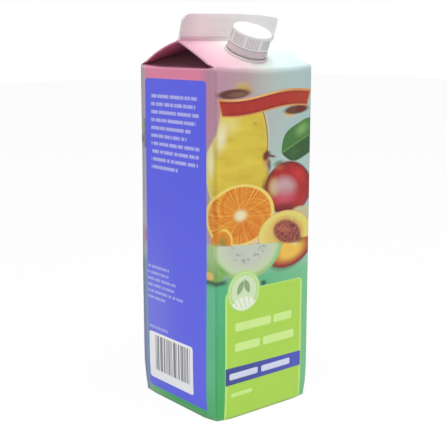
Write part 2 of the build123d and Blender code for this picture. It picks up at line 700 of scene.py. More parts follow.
@dataclass(frozen=True)
class PrintedBoard:
    """The carton's printed, coated board: picture panels, note panels, gable and base."""

    blank: Blank = Blank()
    white: Colour = ink(246, 246, 248)
    pink: Colour = ink(214, 122, 152, 1.16)
    rose: Colour = ink(188, 134, 158)
    dawn: Colour = ink(177, 151, 157)
    haze: Colour = ink(174, 180, 176, 1.02)
    sky: Colour = ink(168, 190, 188, 1.02)
    mint: Colour = ink(168, 196, 186, 1.02)
    mist: Colour = ink(124, 192, 142, 1.04)
    teal: Colour = ink(76, 169, 121, 1.12)
    grass: Colour = ink(58, 162, 84, 1.12)
    lime: Colour = ink(161, 202, 68, 1.15)
    lime_pale: Colour = front_ink(206, 234, 146)
    lime_edge: Colour = ink(180, 220, 108, 1.12)
    violet: Colour = side_ink(82, 88, 219)
    lavender: Colour = side_ink(108, 112, 216)
    note: Colour = ink(206, 208, 255, 1.15)
    strip: Colour = front_ink(70, 76, 184)
    strip_dark: Colour = front_ink(50, 64, 136)
    strip_bar: Colour = ink(222, 226, 250)
    red: Colour = front_ink(158, 24, 8)
    maroon: Colour = front_ink(96, 10, 12)
    gold: Colour = front_ink(205, 135, 70)
    umber: Colour = ink(96, 52, 30)
    yellow: Colour = front_ink(212, 190, 62)
    yellow_deep: Colour = front_ink(196, 166, 44)
    cream: Colour = front_ink(226, 216, 170)
    orange: Colour = front_ink(214, 130, 14)
    orange_deep: Colour = front_ink(206, 98, 10)
    orange_pale: Colour = front_ink(228, 172, 62)
    apple: Colour = front_ink(162, 18, 16)
    apple_dark: Colour = front_ink(112, 24, 20)
    blush: Colour = front_ink(190, 158, 164)
    peach: Colour = front_ink(218, 190, 96)
    peach_skin: Colour = front_ink(232, 184, 70)
    ember: Colour = front_ink(168, 66, 36)
    stone: Colour = front_ink(170, 86, 70)
    melon: Colour = front_ink(190, 195, 182)
    rind: Colour = front_ink(150, 190, 110)
    rind_deep: Colour = front_ink(104, 162, 66)
    leaf: Colour = front_ink(60, 110, 48)
    leaf_dark: Colour = front_ink(32, 70, 32)
    leaf_light: Colour = front_ink(120, 168, 92)
    # Painted shade: the end pockets' inks are darker than the side panels' pink, for the shade
    # inside the pockets.
    gusset_shaded: Colour = ink(116, 80, 92)
    gusset_wing_shaded: Colour = ink(190, 92, 124)

    def build(self) -> Material:
        """Draws the print and gives it the board's coat, creases and wear, and painted light and
        shade.

        Returns:
            The material.
        """
        tree = Tree(bpy.data.materials.new("printed_board"))
        point, place, along = self.blank.place(tree)
        art = Drawing(tree, place, point=point)
        self.draw_ground(art)
        self.draw_yellow_fruit(art)
        self.draw_leaf(art)
        self.draw_apple(art)
        self.draw_ribbon(art)
        self.draw_orange(art)
        self.draw_peach(art)
        self.draw_melon(art)
        self.draw_lime_panel(art)
        self.draw_badge(art)
        self.draw_words(art)
        panel = along % self.blank.repeat
        from_middle = panel - self.blank.panel / 2
        note_place = tree.node("ShaderNodeCombineXYZ", {}, {0: from_middle, 1: art.up, 2: 1.0})
        notes = Drawing(tree, note_place, art.colour)
        self.draw_note_panel(notes, along, art.up)
        return self.coat(art, notes, along, panel)

    def draw_ground(self, art: Drawing) -> None:
        """Draws the sky behind the fruit, and the green beneath it.

        Args:
            art: The picture.
        """
        tree, across, up = art.tree, art.across, art.up
        share = (across + self.blank.picture_middle) / self.blank.repeat
        stops = [
            (0.17, self.pink),
            (0.225, self.rose),
            (0.42, self.dawn),
            (0.53, self.haze),
            (0.66, self.sky),
            (0.79, self.sky),
            (0.81, self.pink),
        ]
        top = tree.ramp(share, stops)
        middle = tree.mix(across.step(-38.0, 8.0), self.dawn, self.mint)
        low = tree.mix(up.step(80.0, 8.0), self.teal, self.grass)
        right_side = across.step(-10.0, 33.0) * across.step(62.0, 40.0)
        low = tree.mix(right_side * 0.8, low, self.mist)
        ground = tree.mix(up.step(172.0, 140.0, eased=True), top, middle)
        art.colour = tree.mix(up.step(92.0, 80.0, eased=True), ground, low)

    def draw_yellow_fruit(self, art: Drawing) -> None:
        """Draws the tall yellow fruit, paler at its left, with a soft cream edge.

        Args:
            art: The picture.
        """
        tree, across, up = art.tree, art.across, art.up
        reach = art.reach((-20.9, 154.0), (22.4, 35.0), -8.0)
        bands = tree.stretched(art.point, (0.05, 0.16, 0.0), 3.0, 0.6)
        shade = tree.mix(bands.step(0.36, 0.66) * 0.85, self.yellow, self.yellow_deep)
        shade = art.shade(shade, Dab(self.yellow, (-16.0, 158.0), (12.0, 20.0), 0.5, -8.0))
        lit = art.shade(
            shade,
            Dab(front_ink(224, 214, 130), (-25.0, 170.0), (10.0, 9.0), 0.7),
            Dab(front_ink(228, 226, 194), (-32.0, 164.0), (6.4, 13.0), 0.8, -6.0),
            Dab(front_ink(216, 214, 104), (-40.5, 140.0), (6.0, 20.0), 0.6),
            Dab(front_ink(232, 226, 180), (-39.0, 151.0), (4.6, 15.0), 0.85, core=0.2),
        )
        lit = tree.mix(reach.step(0.9, 0.99, eased=True) * 0.45, lit, self.cream)
        right_edge = across.step(-14.0, -6.0)
        flat_top = (across - up * 0.22 + 71.2).step(-0.6, 0.6)
        left_flank = (across - up * 0.74 + 156.6).step(-0.6, 0.6)
        seen = up.step(182.5, 181.5) * flat_top.greatest(left_flank)
        lit = tree.mix(reach.step(0.93, 0.975) * right_edge * 0.8, lit, ink(120, 88, 40))
        art.lay(self.cream, reach.step(1.05, 1.02) * right_edge * seen * 0.55)
        art.lay(lit, reach.step(1.015, 0.985) * seen)
        art.lay(shade, art.glow((-6.0, 134.0), (12.0, 16.0), core=0.7))
        art.dab(
            Dab(ink(140, 130, 60), (1.6, 136.0), (2.6, 12.0), 0.7, core=0.2),
            Dab(ink(150, 140, 60, 1.04), (-8.0, 169.5), (2.6, 1.3), 0.7, -20.0),
            Dab(ink(198, 170, 84), (-17.0, 189.8), (8.0, 4.6), 0.75, 4.0, 0.2),
        )

    def draw_leaf(self, art: Drawing) -> None:
        """Draws the broad leaf with its midrib and side veins.

        Args:
            art: The picture.
        """
        tree = art.tree
        half_length, lean = 17.6, 23.0
        lengthwise, aside = art.local((28.2, 158.6), (half_length, 1.0), lean)
        square = lengthwise * lengthwise
        half_width = (1.0 - square * square) * 10.0
        body = (half_width - abs(aside)).step(-0.3, 0.3)
        veins = ((lengthwise * 17.5 - abs(aside) * 0.7) / 3.4) % 1.0
        green = art.shade(self.leaf, Dab(self.leaf_light, (28.0, 164.5), (9.0, 5.5), 0.9, 25.0))
        green = tree.mix(aside.step(0.2, -1.6) * 0.85, green, self.leaf_dark)
        green = art.shade(green, Dab(self.leaf, (22.0, 151.5), (6.0, 4.0), 0.5, 15.0))
        green = tree.mix(abs(veins - 0.5).step(0.07, 0.0) * 0.22, green, self.leaf_light)
        green = tree.mix(abs(aside).step(0.5, 0.2) * 0.5, green, self.leaf_light)
        art.lay(green, body)
        art.dab(Dab(ink(104, 122, 92), (10.0, 145.8), (5.6, 2.6), 0.9, 8.0, 0.3))

    def draw_apple(self, art: Drawing) -> None:
        """Draws the red apple with its soft highlight, stalk and dimple.

        Args:
            art: The picture.
        """
        tree = art.tree
        middle, size, lean = (18.0, 131.0), (18.6, 15.6), -4.0
        art.dab(
            Dab(self.umber, (-0.6, 128.0), (4.0, 13.0), 0.75, core=0.4),
            Dab(self.gold, (0.0, 147.5), (4.0, 3.5), 0.55, core=0.4),
        )
        art.lay(ink(84, 40, 30), art.oval((0.6, 151.4), (2.9, 2.1), 30.0, edge=0.9))
        art.lay(self.apple_dark, art.oval((0.0, 151.0), (1.5, 2.5), -20.0, edge=0.8))
        art.lay(self.umber, art.oval((4.4, 150.6), (3.0, 0.7), -12.0, edge=0.4))
        streaks = tree.stretched(art.point, (0.28, 0.08, 0.0), 3.0, 0.6)
        red = tree.mix(streaks.step(0.35, 0.7) * 0.5, self.apple, front_ink(186, 42, 34))
        reach = art.reach(middle, size, lean)
        red = tree.mix(reach.step(0.72, 1.02, eased=True), red, self.apple_dark)
        red = art.shade(
            red,
            Dab(front_ink(206, 52, 46), (26.0, 138.0), (8.0, 7.0), 0.55, -30.0),
            Dab(front_ink(186, 58, 92), (31.5, 121.5), (5.5, 5.5), 0.4),
            Dab(front_ink(200, 84, 102), (15.0, 126.0), (13.0, 7.0), 0.7, core=0.2),
            Dab(front_ink(196, 176, 112), (6.4, 132.5), (6.0, 7.5), 0.9, 10.0, 0.2),
        )
        shine = art.oval((15.0, 131.4), (8.6, 6.0), -12.0, edge=2.4)
        red = tree.mix(shine * art.up.step(125.0, 132.0) * 0.9, red, self.blush)
        red = art.shade(
            red,
            Dab(ink(178, 96, 52), (9.0, 143.8), (8.0, 3.0), 0.7, -4.0),
            Dab(self.maroon, (15.0, 118.5), (15.0, 6.0), 0.75, core=0.2),
        )
        art.lay(red, art.oval(middle, size, lean, edge=0.5))
        art.dab(Dab(ink(84, 44, 30), (2.4, 146.0), (2.4, 5.4), 0.8, 8.0, 0.2))

    def draw_ribbon(self, art: Drawing) -> None:
        """Draws the bare waving ribbon with gilt edges and a curl at each end.

        Args:
            art: The picture.
        """
        tree, across = art.tree, art.across
        wave_half, wave_height, middle = 44, 2.35, 180.8
        wave = tree.node("ShaderNodeMath", {"operation": "SINE"}, {0: across * (pi / wave_half)})
        height = art.up - middle - wave * wave_height
        span = abs(across - 0.4) - height * 0.3
        art.dab(Dab(ink(188, 150, 74), (-16.0, 187.6), (9.5, 3.6), 0.8, 2.0, 0.3))
        art.lay(ink(88, 40, 34), art.oval((-23.0, 186.2), (11.2, 2.6), 2.0, edge=0.5))
        art.dab(
            Dab(ink(126, 88, 62), (-20.0, 185.8), (9.0, 2.0), 0.8, 2.0, 0.3),
            Dab(self.orange_pale, (18.0, 173.4), (6.5, 1.8), 0.8, core=0.3),
        )
        art.lay(self.umber, art.oval((23.4, 175.9), (9.4, 2.5), 4.0, edge=0.5))
        art.dab(Dab(self.maroon, (27.0, 176.2), (6.0, 2.2), 0.9, 4.0, 0.5))
        band = abs(height).step(4.95, 4.7) * span.step(33.3, 33.0)
        art.lay(self.gold, band)
        inner = abs(height + 0.2).step(3.85, 3.6) * span.step(32.7, 32.3)
        folds = tree.stretched(art.point, (0.22, 0.05, 0.0), 1.0)
        red = tree.mix(folds.step(0.3, 0.7) * 0.45, self.red, front_ink(186, 40, 36))
        red = tree.mix(abs(height + 0.2).step(2.2, 3.6) * 0.6, red, self.maroon)
        red = tree.mix(abs(across + 6.0).step(18.0, 32.0) * 0.35, red, ink(166, 72, 36))
        art.lay(red, inner)
        shine = abs(height - 4.3).step(0.45, 0.1) * across.step(-34.0, -20.0)
        art.lay(front_ink(236, 190, 120), shine * across.step(24.0, -4.0) * band)

    def draw_orange(self, art: Drawing) -> None:
        """Draws the cut orange, its rind, pith, segments and pulp, and a wedge below it.

        Args:
            art: The picture.
        """
        tree = art.tree
        centre, size, segments = (-18.3, 119.0), (25.2, 17.8), 10
        across, up = art.local(centre, size)
        reach = art.reach(centre, size)
        angle = art.angle(across, up)
        spoke = abs((angle * (segments / (2 * pi)) + 0.22) % 1.0 - 0.5)
        fibres = tree.flicker(angle * 14.0, 2.0) * 0.62
        bend = tree.flicker(reach * 8.0 + angle * 3.0, 1.0) * 0.38 + fibres
        stops = [(0.34, self.orange_deep), (0.5, self.orange), (0.7, self.orange_pale)]
        pulp = art.shade(
            tree.ramp(bend, stops), Dab(self.orange_deep, (-15.0, 111.0), (13.0, 9.0), 0.55)
        )
        wall = (0.5 - spoke) * reach
        pulp = tree.mix(wall.step(0.05, 0.01) * 0.42, pulp, self.orange_pale)
        pulp = tree.mix(reach.step(0.26, 0.08, eased=True), pulp, self.cream)
        pulp = tree.mix(reach.step(0.88, 0.93), pulp, front_ink(230, 210, 116))
        pulp = tree.mix(reach.step(0.945, 0.98), pulp, front_ink(222, 192, 78))
        art.lay(pulp, reach.step(1.008, 0.992))
        wedge = art.reach((-31.0, 104.5), (7.2, 8.6))
        hollow = Dab(ink(158, 128, 44), (-31.0, 104.0), (5.0, 7.0), core=0.2)
        inside = art.shade(self.orange, hollow)
        right_side = art.across.step(-35.0, -30.0)
        inside = tree.mix(wedge.step(0.78, 0.86) * right_side, inside, front_ink(226, 198, 92))
        art.lay(inside, wedge.step(1.03, 0.97))
        art.lay(ink(232, 192, 150), art.oval((-7.6, 102.6), (2.6, 1.3), 20.0, edge=0.4))

    def draw_peach(self, art: Drawing) -> None:
        """Draws the halved peach with its stone, over the whole peach's blushed skin.

        Args:
            art: The picture.
        """
        tree = art.tree
        art.lay(front_ink(188, 184, 146), art.oval((29.6, 113.6), (10.6, 5.6), -6.0, edge=0.6))
        art.lay(ink(70, 112, 84), art.oval((18.0, 97.0), (20.0, 14.2), 12.0, edge=1.2) * 0.7)
        skin = art.shade(self.ember, Dab(self.peach_skin, (19.5, 94.5), (16.5, 9.0), 1.0, 8.0, 0.4))
        edge = art.reach((19.5, 98.0), (20.0, 13.6), 12.0)
        low_edge = edge.step(0.8, 1.0, eased=True) * art.up.step(97.0, 90.0)
        skin = art.shade(
            tree.mix(low_edge * 0.9, skin, self.apple_dark),
            Dab(self.cream, (24.0, 97.5), (4.5, 3.0), 0.7),
            Dab(self.orange_deep, (8.0, 92.0), (7.0, 7.0), 0.5),
            Dab(ink(186, 128, 92), (37.0, 104.0), (4.5, 6.0), 0.6),
        )
        art.lay(skin, edge.step(1.03, 0.98))
        unripe = Dab(front_ink(206, 206, 118), (27.0, 114.0), (11.0, 5.0), 0.8)
        flesh = art.shade(self.peach, unripe)
        reach = art.reach((15.6, 104.6), (21.0, 13.6))
        flesh = tree.mix(reach.step(0.62, 0.86, eased=True) * 0.7, flesh, front_ink(220, 210, 112))
        flesh = tree.mix(reach.step(0.96, 1.0), flesh, self.gold)
        rays = tree.stretched(art.point, (0.5, 0.12, 0.0), 2.0)
        around_stone = art.glow((17.5, 105.4), (15.5, 10.6), -18.0, core=0.5)
        flesh = tree.mix(around_stone * rays, flesh, self.ember)
        level = art.up - art.across * 0.02
        art.lay(flesh, reach.step(1.02, 0.98) * level.step(99.2, 99.9))
        art.dab(Dab(self.umber, (22.5, 101.0), (10.5, 4.0), 0.85, -16.0, 0.4))
        turned = {"Vector": art.point, "Rotation": (0.0, 0.0, 0.6)}
        slanted = tree.node("ShaderNodeMapping", {}, turned)
        pits = tree.stretched(slanted, (1.1, 0.26, 0.0), 3.0, 0.65)
        stone = art.shade(
            tree.mix(pits.step(0.42, 0.56), ink(96, 34, 30), self.stone),
            Dab(ink(214, 132, 96), (14.0, 107.4), (6.5, 3.4), 0.35, -18.0),
        )
        art.lay(stone, art.oval((17.2, 105.4), (11.0, 6.6), -18.0, edge=0.6))

    def draw_melon(self, art: Drawing) -> None:
        """Draws the melon slice: pale flesh, seeds and green rind.

        Args:
            art: The picture.
        """
        tree, across, up = art.tree, art.across, art.up
        cut = (up - 100.5 + across * 0.086).step(0.35, -0.35)
        reach = art.reach((-13.0, 101.5), (26.2, 19.8), -4.0)
        body = reach.step(1.015, 0.985) * cut
        green = tree.mix(up.step(99.0, 86.0), ink(164, 197, 144), ink(122, 172, 72))
        art.lay(green, art.block((-38.5, 93.5), (8.5, 10.5), 4.0, edge=1.5) * 0.92)
        art.dab(Dab(ink(226, 188, 98), (-40.6, 85.8), (5.4, 3.4), 0.95, core=0.5))
        rind = art.shade(self.rind, Dab(self.rind_deep, (-31.0, 89.0), (9.0, 8.0)))
        rind = tree.mix(across.step(-4.0, 8.0) * 0.7, rind, front_ink(132, 196, 140))
        art.lay(rind, body)
        flesh = tree.mix(reach.step(0.5, 0.86), self.melon, front_ink(192, 208, 168))
        seeds = tree.stretched(art.point, (0.34, 0.5, 0.0), 1.0)
        line = abs(reach - 0.42).step(0.16, 0.04)
        flesh = tree.mix(seeds.step(0.52, 0.66) * line * 0.6, flesh, ink(120, 126, 110, 1.04))
        art.lay(flesh, reach.step(0.96, 0.8, eased=True) * cut)
        shadow = (up - 82.6).step(1.6, 0.0) * (up - 82.6).step(-2.6, -0.6)
        shadow = shadow * across.step(-27.0, -30.0) * across.step(-47.0, -43.0)
        art.lay(ink(46, 70, 48), shadow * 0.9)

    def draw_lime_panel(self, art: Drawing) -> None:
        """Draws the lime panel with its pale side lines, its strip and the strip's bars.

        Args:
            art: The picture.
        """
        tree = art.tree
        art.dab(Dab(self.leaf_dark, (-1.0, 77.6), (3.0, 2.2), 0.9, core=0.3))
        body = art.block((0.5, 35.0), (29.6, 41.0), 3.0)
        field = art.block((0.5, 34.4), (28.2, 41.0), 2.4, edge=0.4)
        art.lay(tree.mix(field, self.lime_edge, self.lime), body)
        blue = tree.mix(art.across.step(-29.0, 26.0), self.strip_dark, self.strip)
        below_top = (art.up - 30.6 + art.across * 0.02).step(0.15, -0.15)
        art.lay(blue, art.block((0.4, 26.0), (29.2, 5.2), 0.3) * below_top)
        for centre, half_width in (((-15.4, 25.7), 10.6), ((9.4, 25.6), 11.4)):
            art.lay(self.strip_bar, art.block(centre, (half_width, 1.9), 1.0) * 0.9)
        art.lay(self.lime_pale, art.block((-16.6, 14.2), (8.0, 1.2), 0.9) * 0.8)

    def draw_badge(self, art: Drawing) -> None:
        """Draws the round badge: a marked ring, a pair of leaves, and furrows below them.

        Args:
            art: The picture.
        """
        middle, half_marks = (-15.6, 75.2), 24
        ring = art.reach(middle, (1.0, 1.0))
        across, up = art.local(middle, (1.0, 1.0))
        angle = art.angle(across, up)
        art.lay(front_ink(176, 214, 128), ring.step(12.1, 11.8))
        marks = abs((angle * (half_marks / pi)) % 1.0 - 0.5).step(0.2, 0.3)
        marks = marks * ring.step(9.9, 10.2) * ring.step(11.3, 11.0)
        art.lay(front_ink(214, 232, 178), marks * 0.8)
        art.lay(front_ink(204, 222, 184), ring.step(9.3, 9.0))
        hill = (up + 3.4 + across * across * 0.05).step(0.25, -0.25)
        art.lay(front_ink(226, 236, 214), hill * ring.step(11.4, 11.1))
        furrows = abs((across * 0.22 + up * 0.1 - across * up * 0.012) % 1.0 - 0.5).step(0.07, 0.03)
        art.lay(ink(150, 166, 120), furrows * hill * ring.step(10.4, 10.0) * 0.8)
        for centre, turn in (((-18.2, 77.4), 62.0), ((-13.4, 77.8), 112.0)):
            lengthwise, aside = art.local(centre, (4.6, 1.0), turn)
            body = ((1.0 - lengthwise * lengthwise) * 1.9 - abs(aside)).step(-0.15, 0.15)
            art.lay(ink(128, 160, 110), body * 0.9)

    def draw_words(self, art: Drawing) -> None:
        """Draws the two pale rows of blocks where a pack has its large wording.

        Args:
            art: The picture.
        """
        high = (((-8.4, 54.6), 13.6), ((14.4, 54.6), 7.4))
        low = (((-12.6, 42.6), 9.4), ((11.4, 42.6), 12.4))
        for centre, half_width in high + low:
            art.lay(self.lime_pale, art.block(centre, (half_width, 2.5), 1.3) * 0.9)

    def text_lines(
        self, notes: Drawing, box: tuple[float, ...], pitch: float, ends: list[float]
    ) -> Signal:
        """The mask of a paragraph of small marks that spell nothing.

        Args:
            notes: The drawing it goes on.
            box: Its left, bottom, right and top, in mm.
            pitch: From line to line.
            ends: Where each line ends, from the lowest up, as a share of the width.

        Returns:
            The mask.
        """
        left, bottom, right, top = box
        tree, across, up = notes.tree, notes.across, notes.up
        share = (up - bottom) / (top - bottom)
        stops = [(index / len(ends), (end, end, end)) for index, end in enumerate(ends)]
        end = tree.node("ShaderNodeSeparateColor", {}, {0: tree.ramp(share, stops, hold=True)})
        line = (up - bottom) / pitch
        row = tree.node("ShaderNodeMath", {"operation": "FLOOR"}, {0: line})
        within = abs(line % 1.0 - 0.5).step(0.27, 0.15)
        words = tree.flicker(across * 0.5 + row * 17.3).step(0.3, 0.36)
        letters = tree.flicker(across * 3.1 + row * 41.7, 1.0).step(0.38, 0.56) * 0.75 + 0.25
        inside = across.step(left - 0.1, left + 0.1)
        inside = inside * ((across - left) - end * (right - left)).step(0.1, -0.1)
        tall = up.step(bottom, bottom + 0.05) * up.step(top + 0.05, top)
        return within * words * letters * inside * tall

    def draw_note_panel(self, notes: Drawing, along: Signal, up: Signal) -> None:
        """Draws the violet side panel with its notes, and its bars or its table.

        Args:
            notes: The note panel's drawing.
            along: How far along the blank, in mm.
            up: How far up the blank, in mm.
        """
        tree, across = notes.tree, notes.across
        margin = across.step(-29.5, -33.0)
        notes.lay(ink(172, 154, 172), margin * up.step(84.0, 94.0) * 0.95)
        notes.dab(
            Dab(self.leaf_light, (-34.6, 164.5), (3.6, 3.4), 0.8, core=0.4),
            Dab(ink(86, 96, 78), (-34.6, 157.5), (3.2, 3.4), 0.8, core=0.4),
            Dab(ink(180, 172, 196), (-35.0, 112.5), (4.2, 10.5), 0.85, core=0.6),
        )
        notes.lay(ink(124, 126, 178), margin * up.step(92.0, 82.0))
        violet = notes.shade(self.violet, Dab(self.lavender, (-26.0, 50.0), (30.0, 75.0), 0.8))
        tapered = (across - 26.2 - up.step(0.0, 110.0) * 1.6).step(0.15, -0.15)
        pale = across.step(26.0, 27.0) * across.step(35.2, 34.2) * up.step(80.5, 78.0)
        notes.lay(ink(124, 218, 188), pale * (up.step(0.0, 24.0) * 0.17 + 0.08))
        notes.lay(violet, notes.block((-1.5, 99.0), (29.0, 94.2), 2.6) * tapered)
        first = [0.57, 0.97, 0.99, 1.0, 0.75, 0.83, 0.93, 0.99, 0.92, 0.97]
        second = [0.5, 1.0, 0.78, 0.8, 0.6, 0.62]
        paragraphs = (
            ((-24.5, 139.7, 21.5, 185.5), 4.58, first, 0.8),
            ((-30.0, 60.0, 5.5, 83.1), 3.85, second, 0.62),
            ((-29.5, 41.4, -10.0, 45.2), 3.8, [1.0], 0.55),
        )
        for box, pitch, ends, strength in paragraphs:
            notes.lay(self.note, self.text_lines(notes, box, pitch, ends) * strength)
        notes.lay(self.white, notes.block((-7.6, 25.3), (21.9, 14.8), 1.8))
        right_panel = along.step(139.9, 140.1)
        bars = tree.flicker(across * 0.82 + 4.0).step(0.47, 0.5)
        frame_mask = notes.block((-6.5, 27.3), (17.8, 11.0), 0.1)
        notes.lay(ink(70, 72, 84), bars * frame_mask * (1.0 - right_panel))
        cell = (abs((up - 15.4) / 3.6 % 1.0 - 0.5)).step(0.44, 0.48)
        post = (abs(across + 2.0)).step(0.35, 0.2)
        notes.lay(self.strip, cell.greatest(post) * frame_mask * right_panel)
        cells = (-23.0, 15.4, 10.0, 37.0)
        entries = self.text_lines(notes, cells, 3.6, [0.9, 0.8, 0.95, 0.7, 0.9, 0.85])
        notes.lay(self.strip_dark, entries * right_panel * 0.8)

    def from_crease(self, along: Signal) -> Signal:
        """How far a place along the blank is from the nearest crease, in mm."""
        width = self.blank.panel
        return abs((along + width / 2) % width - width / 2)

    def coat(self, art: Drawing, notes: Drawing, along: Signal, panel: Signal) -> Material:
        """Adds the gable's inks with painted shade in the end pockets, the creases' wear with
        painted highlights on the folds, painted light on the roof, painted shade along the creases,
        a painted shadow at the foot, and the board's gloss.

        Args:
            art: The picture.
            notes: The note panel's drawing, which holds all that is drawn so far.
            along: How far along the blank, in mm.
            panel: The same, within a pair of panels.

        Returns:
            The finished material.
        """
        tree, up = art.tree, art.up
        place = tree.object_place()
        parts = tree.split(place)
        east = abs(parts)
        height = parts.other(2)
        side_panel = abs(panel - self.blank.panel / 2).step(35.2, 34.8)
        # Painted highlight: a pale pink line along the side panels' rounded shoulder fold.
        notes.lay(ink(240, 176, 198), side_panel * abs(up - 199.6).step(1.0, 0.3) * 0.5)
        # Painted shade in the end pockets: a dark greyish pink, turning deep maroon high in the
        # pocket and under the roof wings.
        wing = tree.mix(up.step(228.0, 229.0), self.gusset_shaded, self.gusset_wing_shaded)
        notes.lay(wing, side_panel * up.step(200.2, 201.4))
        fade = up.step(203.0, 236.5) * art.across.step(-30.0, 15.0) * 0.35
        fin = up.step(236.0, 238.0) * (art.across.step(-36.0, 25.0) * 0.3 + 0.6)
        pale_fin = tree.mix(fin.step(0.0, 0.4), ink(246, 242, 242), ink(229, 222, 222))
        notes.lay(pale_fin, fade.greatest(fin) * (1.0 - side_panel))
        fleck = tree.noise(place, 900.0, 3.0, 0.6)
        mottle = tree.noise(place, 60.0, 3.0, 0.55)
        crease = self.from_crease(along).step(1.5, 0.8) * up.step(201.0, 198.0)
        shoulder = abs(up - 199.4).step(1.2, 0.5)
        rim = east.step(0.0338, 0.0348) * up.step(200.0, 201.0) * up.step(237.0, 235.0)
        fold = crease.greatest(shoulder).greatest(rim)
        # Flecked white along the creases, shoulders and roof edges stands for worn coating, and on
        # the roof edges for a painted highlight too; the smooth pale band along the shoulders is a
        # painted highlight.
        wear_and_highlight = fold * fleck.step(0.6, 0.76) * 0.2 + shoulder * 0.05
        notes.lay(self.white, wear_and_highlight)
        foot = height.step(0.003, 0.0002) * mottle.step(0.3, 0.7)
        notes.lay(ink(196, 188, 172), foot * 0.3)
        # Painted contact shadow: a dark olive line along the very bottom of the walls.
        notes.lay(ink(70, 78, 44), height.step(0.0011, 0.0003) * 0.5)
        notes.lay(self.white, up.step(-0.6, -2.4))
        seam = abs(along - 276.6).step(0.28, 0.1) * up.step(236.0, 232.0)
        notes.lay(ink(206, 186, 152), seam * 0.8)
        # Painted light: the roof slopes are lightened, most at the left and least at the right, and
        # the fin less, as if lit from above.
        lift = art.across.step(-34.0, -23.0) * 0.26 - art.across.step(0.0, 30.0) * 0.23 + 0.34
        roof = up.step(199.5, 202.0) * (lift - up.step(236.0, 237.0) * 0.26) * (1.0 - side_panel)
        # Painted shade: the walls are darkened in a narrow line along each upright crease.
        crease_shade = self.from_crease(along).step(0.9, 0.4) * up.step(199.0, 197.0) * 0.14
        value = (mottle * 0.05 + 0.975) * (roof + 1.0 - crease_shade)
        tint = tree.node("ShaderNodeHueSaturation", {}, {"Value": value, "Color": notes.colour})
        rough = mottle * 0.14 + fleck * 0.05 + wear_and_highlight * 0.25 + 0.27
        grain = tree.bump(fleck, 0.00003, 0.35)
        waviness = tree.bump(tree.noise(place, 26.0, 1.0), 0.0009, 0.3, grain)
        lap = tree.bump(along.step(276.2, 276.8) * up.step(236.0, 232.0), 0.0004, 0.6, waviness)
        weld = (up - 237.0) / 1.6 % 1.0
        seal = abs(weld - 0.5).step(0.5, 0.1, eased=True) * up.step(237.0, 238.0)
        sealed = tree.bump(seal * up.step(248.5, 247.0), 0.00012, 0.5, lap)
        return tree.finish(
            Base_Color=tint,
            Roughness=rough,
            Normal=sealed,
            IOR=1.42,
            Coat_Weight=0.15,
            Coat_Roughness=0.22,
        )


@dataclass(frozen=True)
class RawBoard:
    """The board's cut edge: pale fibre between two thin white faces, in layers."""

    core: Colour = ink(222, 217, 214)
    face: Colour = ink(230, 227, 228)
    lean: float = radians(13.0)
    first_layer: float = 46.65
    layer: float = 0.45

    def build(self) -> Material:
        """Makes the fibrous edge.

        Returns:
            The material.
        """
        tree = Tree(bpy.data.materials.new("raw_board"))
        place = tree.object_place()
        parts = tree.split(place)
        south, height = parts.other(1), parts.other(2)
        depth = (south * cos(self.lean) + height * sin(self.lean)) * 1000.0
        layer = abs(((depth - self.first_layer) / self.layer) % 1.0 - 0.5)
        fibre = tree.stretched(place, (300.0, 2600.0, 2600.0), 3.0, 0.65)
        colour = tree.mix(layer.step(0.36, 0.44), self.core, self.face)
        colour = tree.mix(fibre.step(0.3, 0.75) * 0.25, colour, ink(206, 196, 186))
        rough = fibre * 0.2 + 0.72
        normal = tree.bump(fibre, 0.0001, 0.5)
        return tree.finish(Base_Color=colour, Roughness=rough, Normal=normal)


@dataclass(frozen=True)
class MouldedPlastic:
    """White moulded polyethylene: a soft sheen, faint flow marks, light scuffs, and on the cap
    painted shade between the ribs.
    """

    name: str
    colour: Colour
    roughness: float = 0.34
    shadow: float = 0.9
    scuffed: float = 0.8
    rib_shade: float = 0.0

    def darker(self, share: float) -> Colour:
        """The plastic's colour, darkened to a share."""
        return tuple(part * share for part in self.colour)

    def build(self) -> Material:
        """Makes the plastic.

        Returns:
            The material.
        """
        tree = Tree(bpy.data.materials.new(self.name))
        place = tree.object_place()
        flow = tree.noise(place, 190.0, 2.0, 0.5)
        scuff = tree.stretched(place, (1500.0, 1500.0, 4500.0), 3.0, 0.6)
        colour = tree.mix(flow.step(0.35, 0.75) * 0.5, self.colour, self.darker(self.shadow))
        # Painted shade: the hollows beside the cap's ribs are darkened.
        if self.rib_shade:
            colour = tree.mix(self.hollows(tree), colour, self.darker(1.0 - self.rib_shade))
        rubbed = scuff.step(0.6, 0.8)
        colour = tree.mix(rubbed * 0.12, colour, self.darker(self.scuffed))
        rough = flow * 0.12 + rubbed * 0.18 + self.roughness - 0.05
        fine = tree.bump(scuff, 0.00002, 0.4)
        normal = tree.bump(flow, 0.0002, 0.15, fine)
        return tree.finish(
            Base_Color=colour,
            Roughness=rough,
            Normal=normal,
            Subsurface_Weight=0.12,
            Subsurface_Scale=0.001,
        )

    def hollows(self, tree: Tree) -> Signal:
        """The mask of the hollows beside the cap's ribs, where painted shade darkens the plastic.

        Args:
            tree: The material's tree.

        Returns:
            The mask.
        """
        group_turn, rib_turn = 45.0, 8.0
        turn = tree.split(tree.node("ShaderNodeUVMap", {"uv_map": TURNED}))
        height = turn.other(1)
        group = turn % group_turn - group_turn / 2
        beside = abs((group + rib_turn / 2) % rib_turn - rib_turn / 2).step(2.5, 1.7)
        tall = height.step(7.0, 7.5) * height.step(13.4, 12.6)
        return beside * abs(group).step(19.0, 18.0) * tall


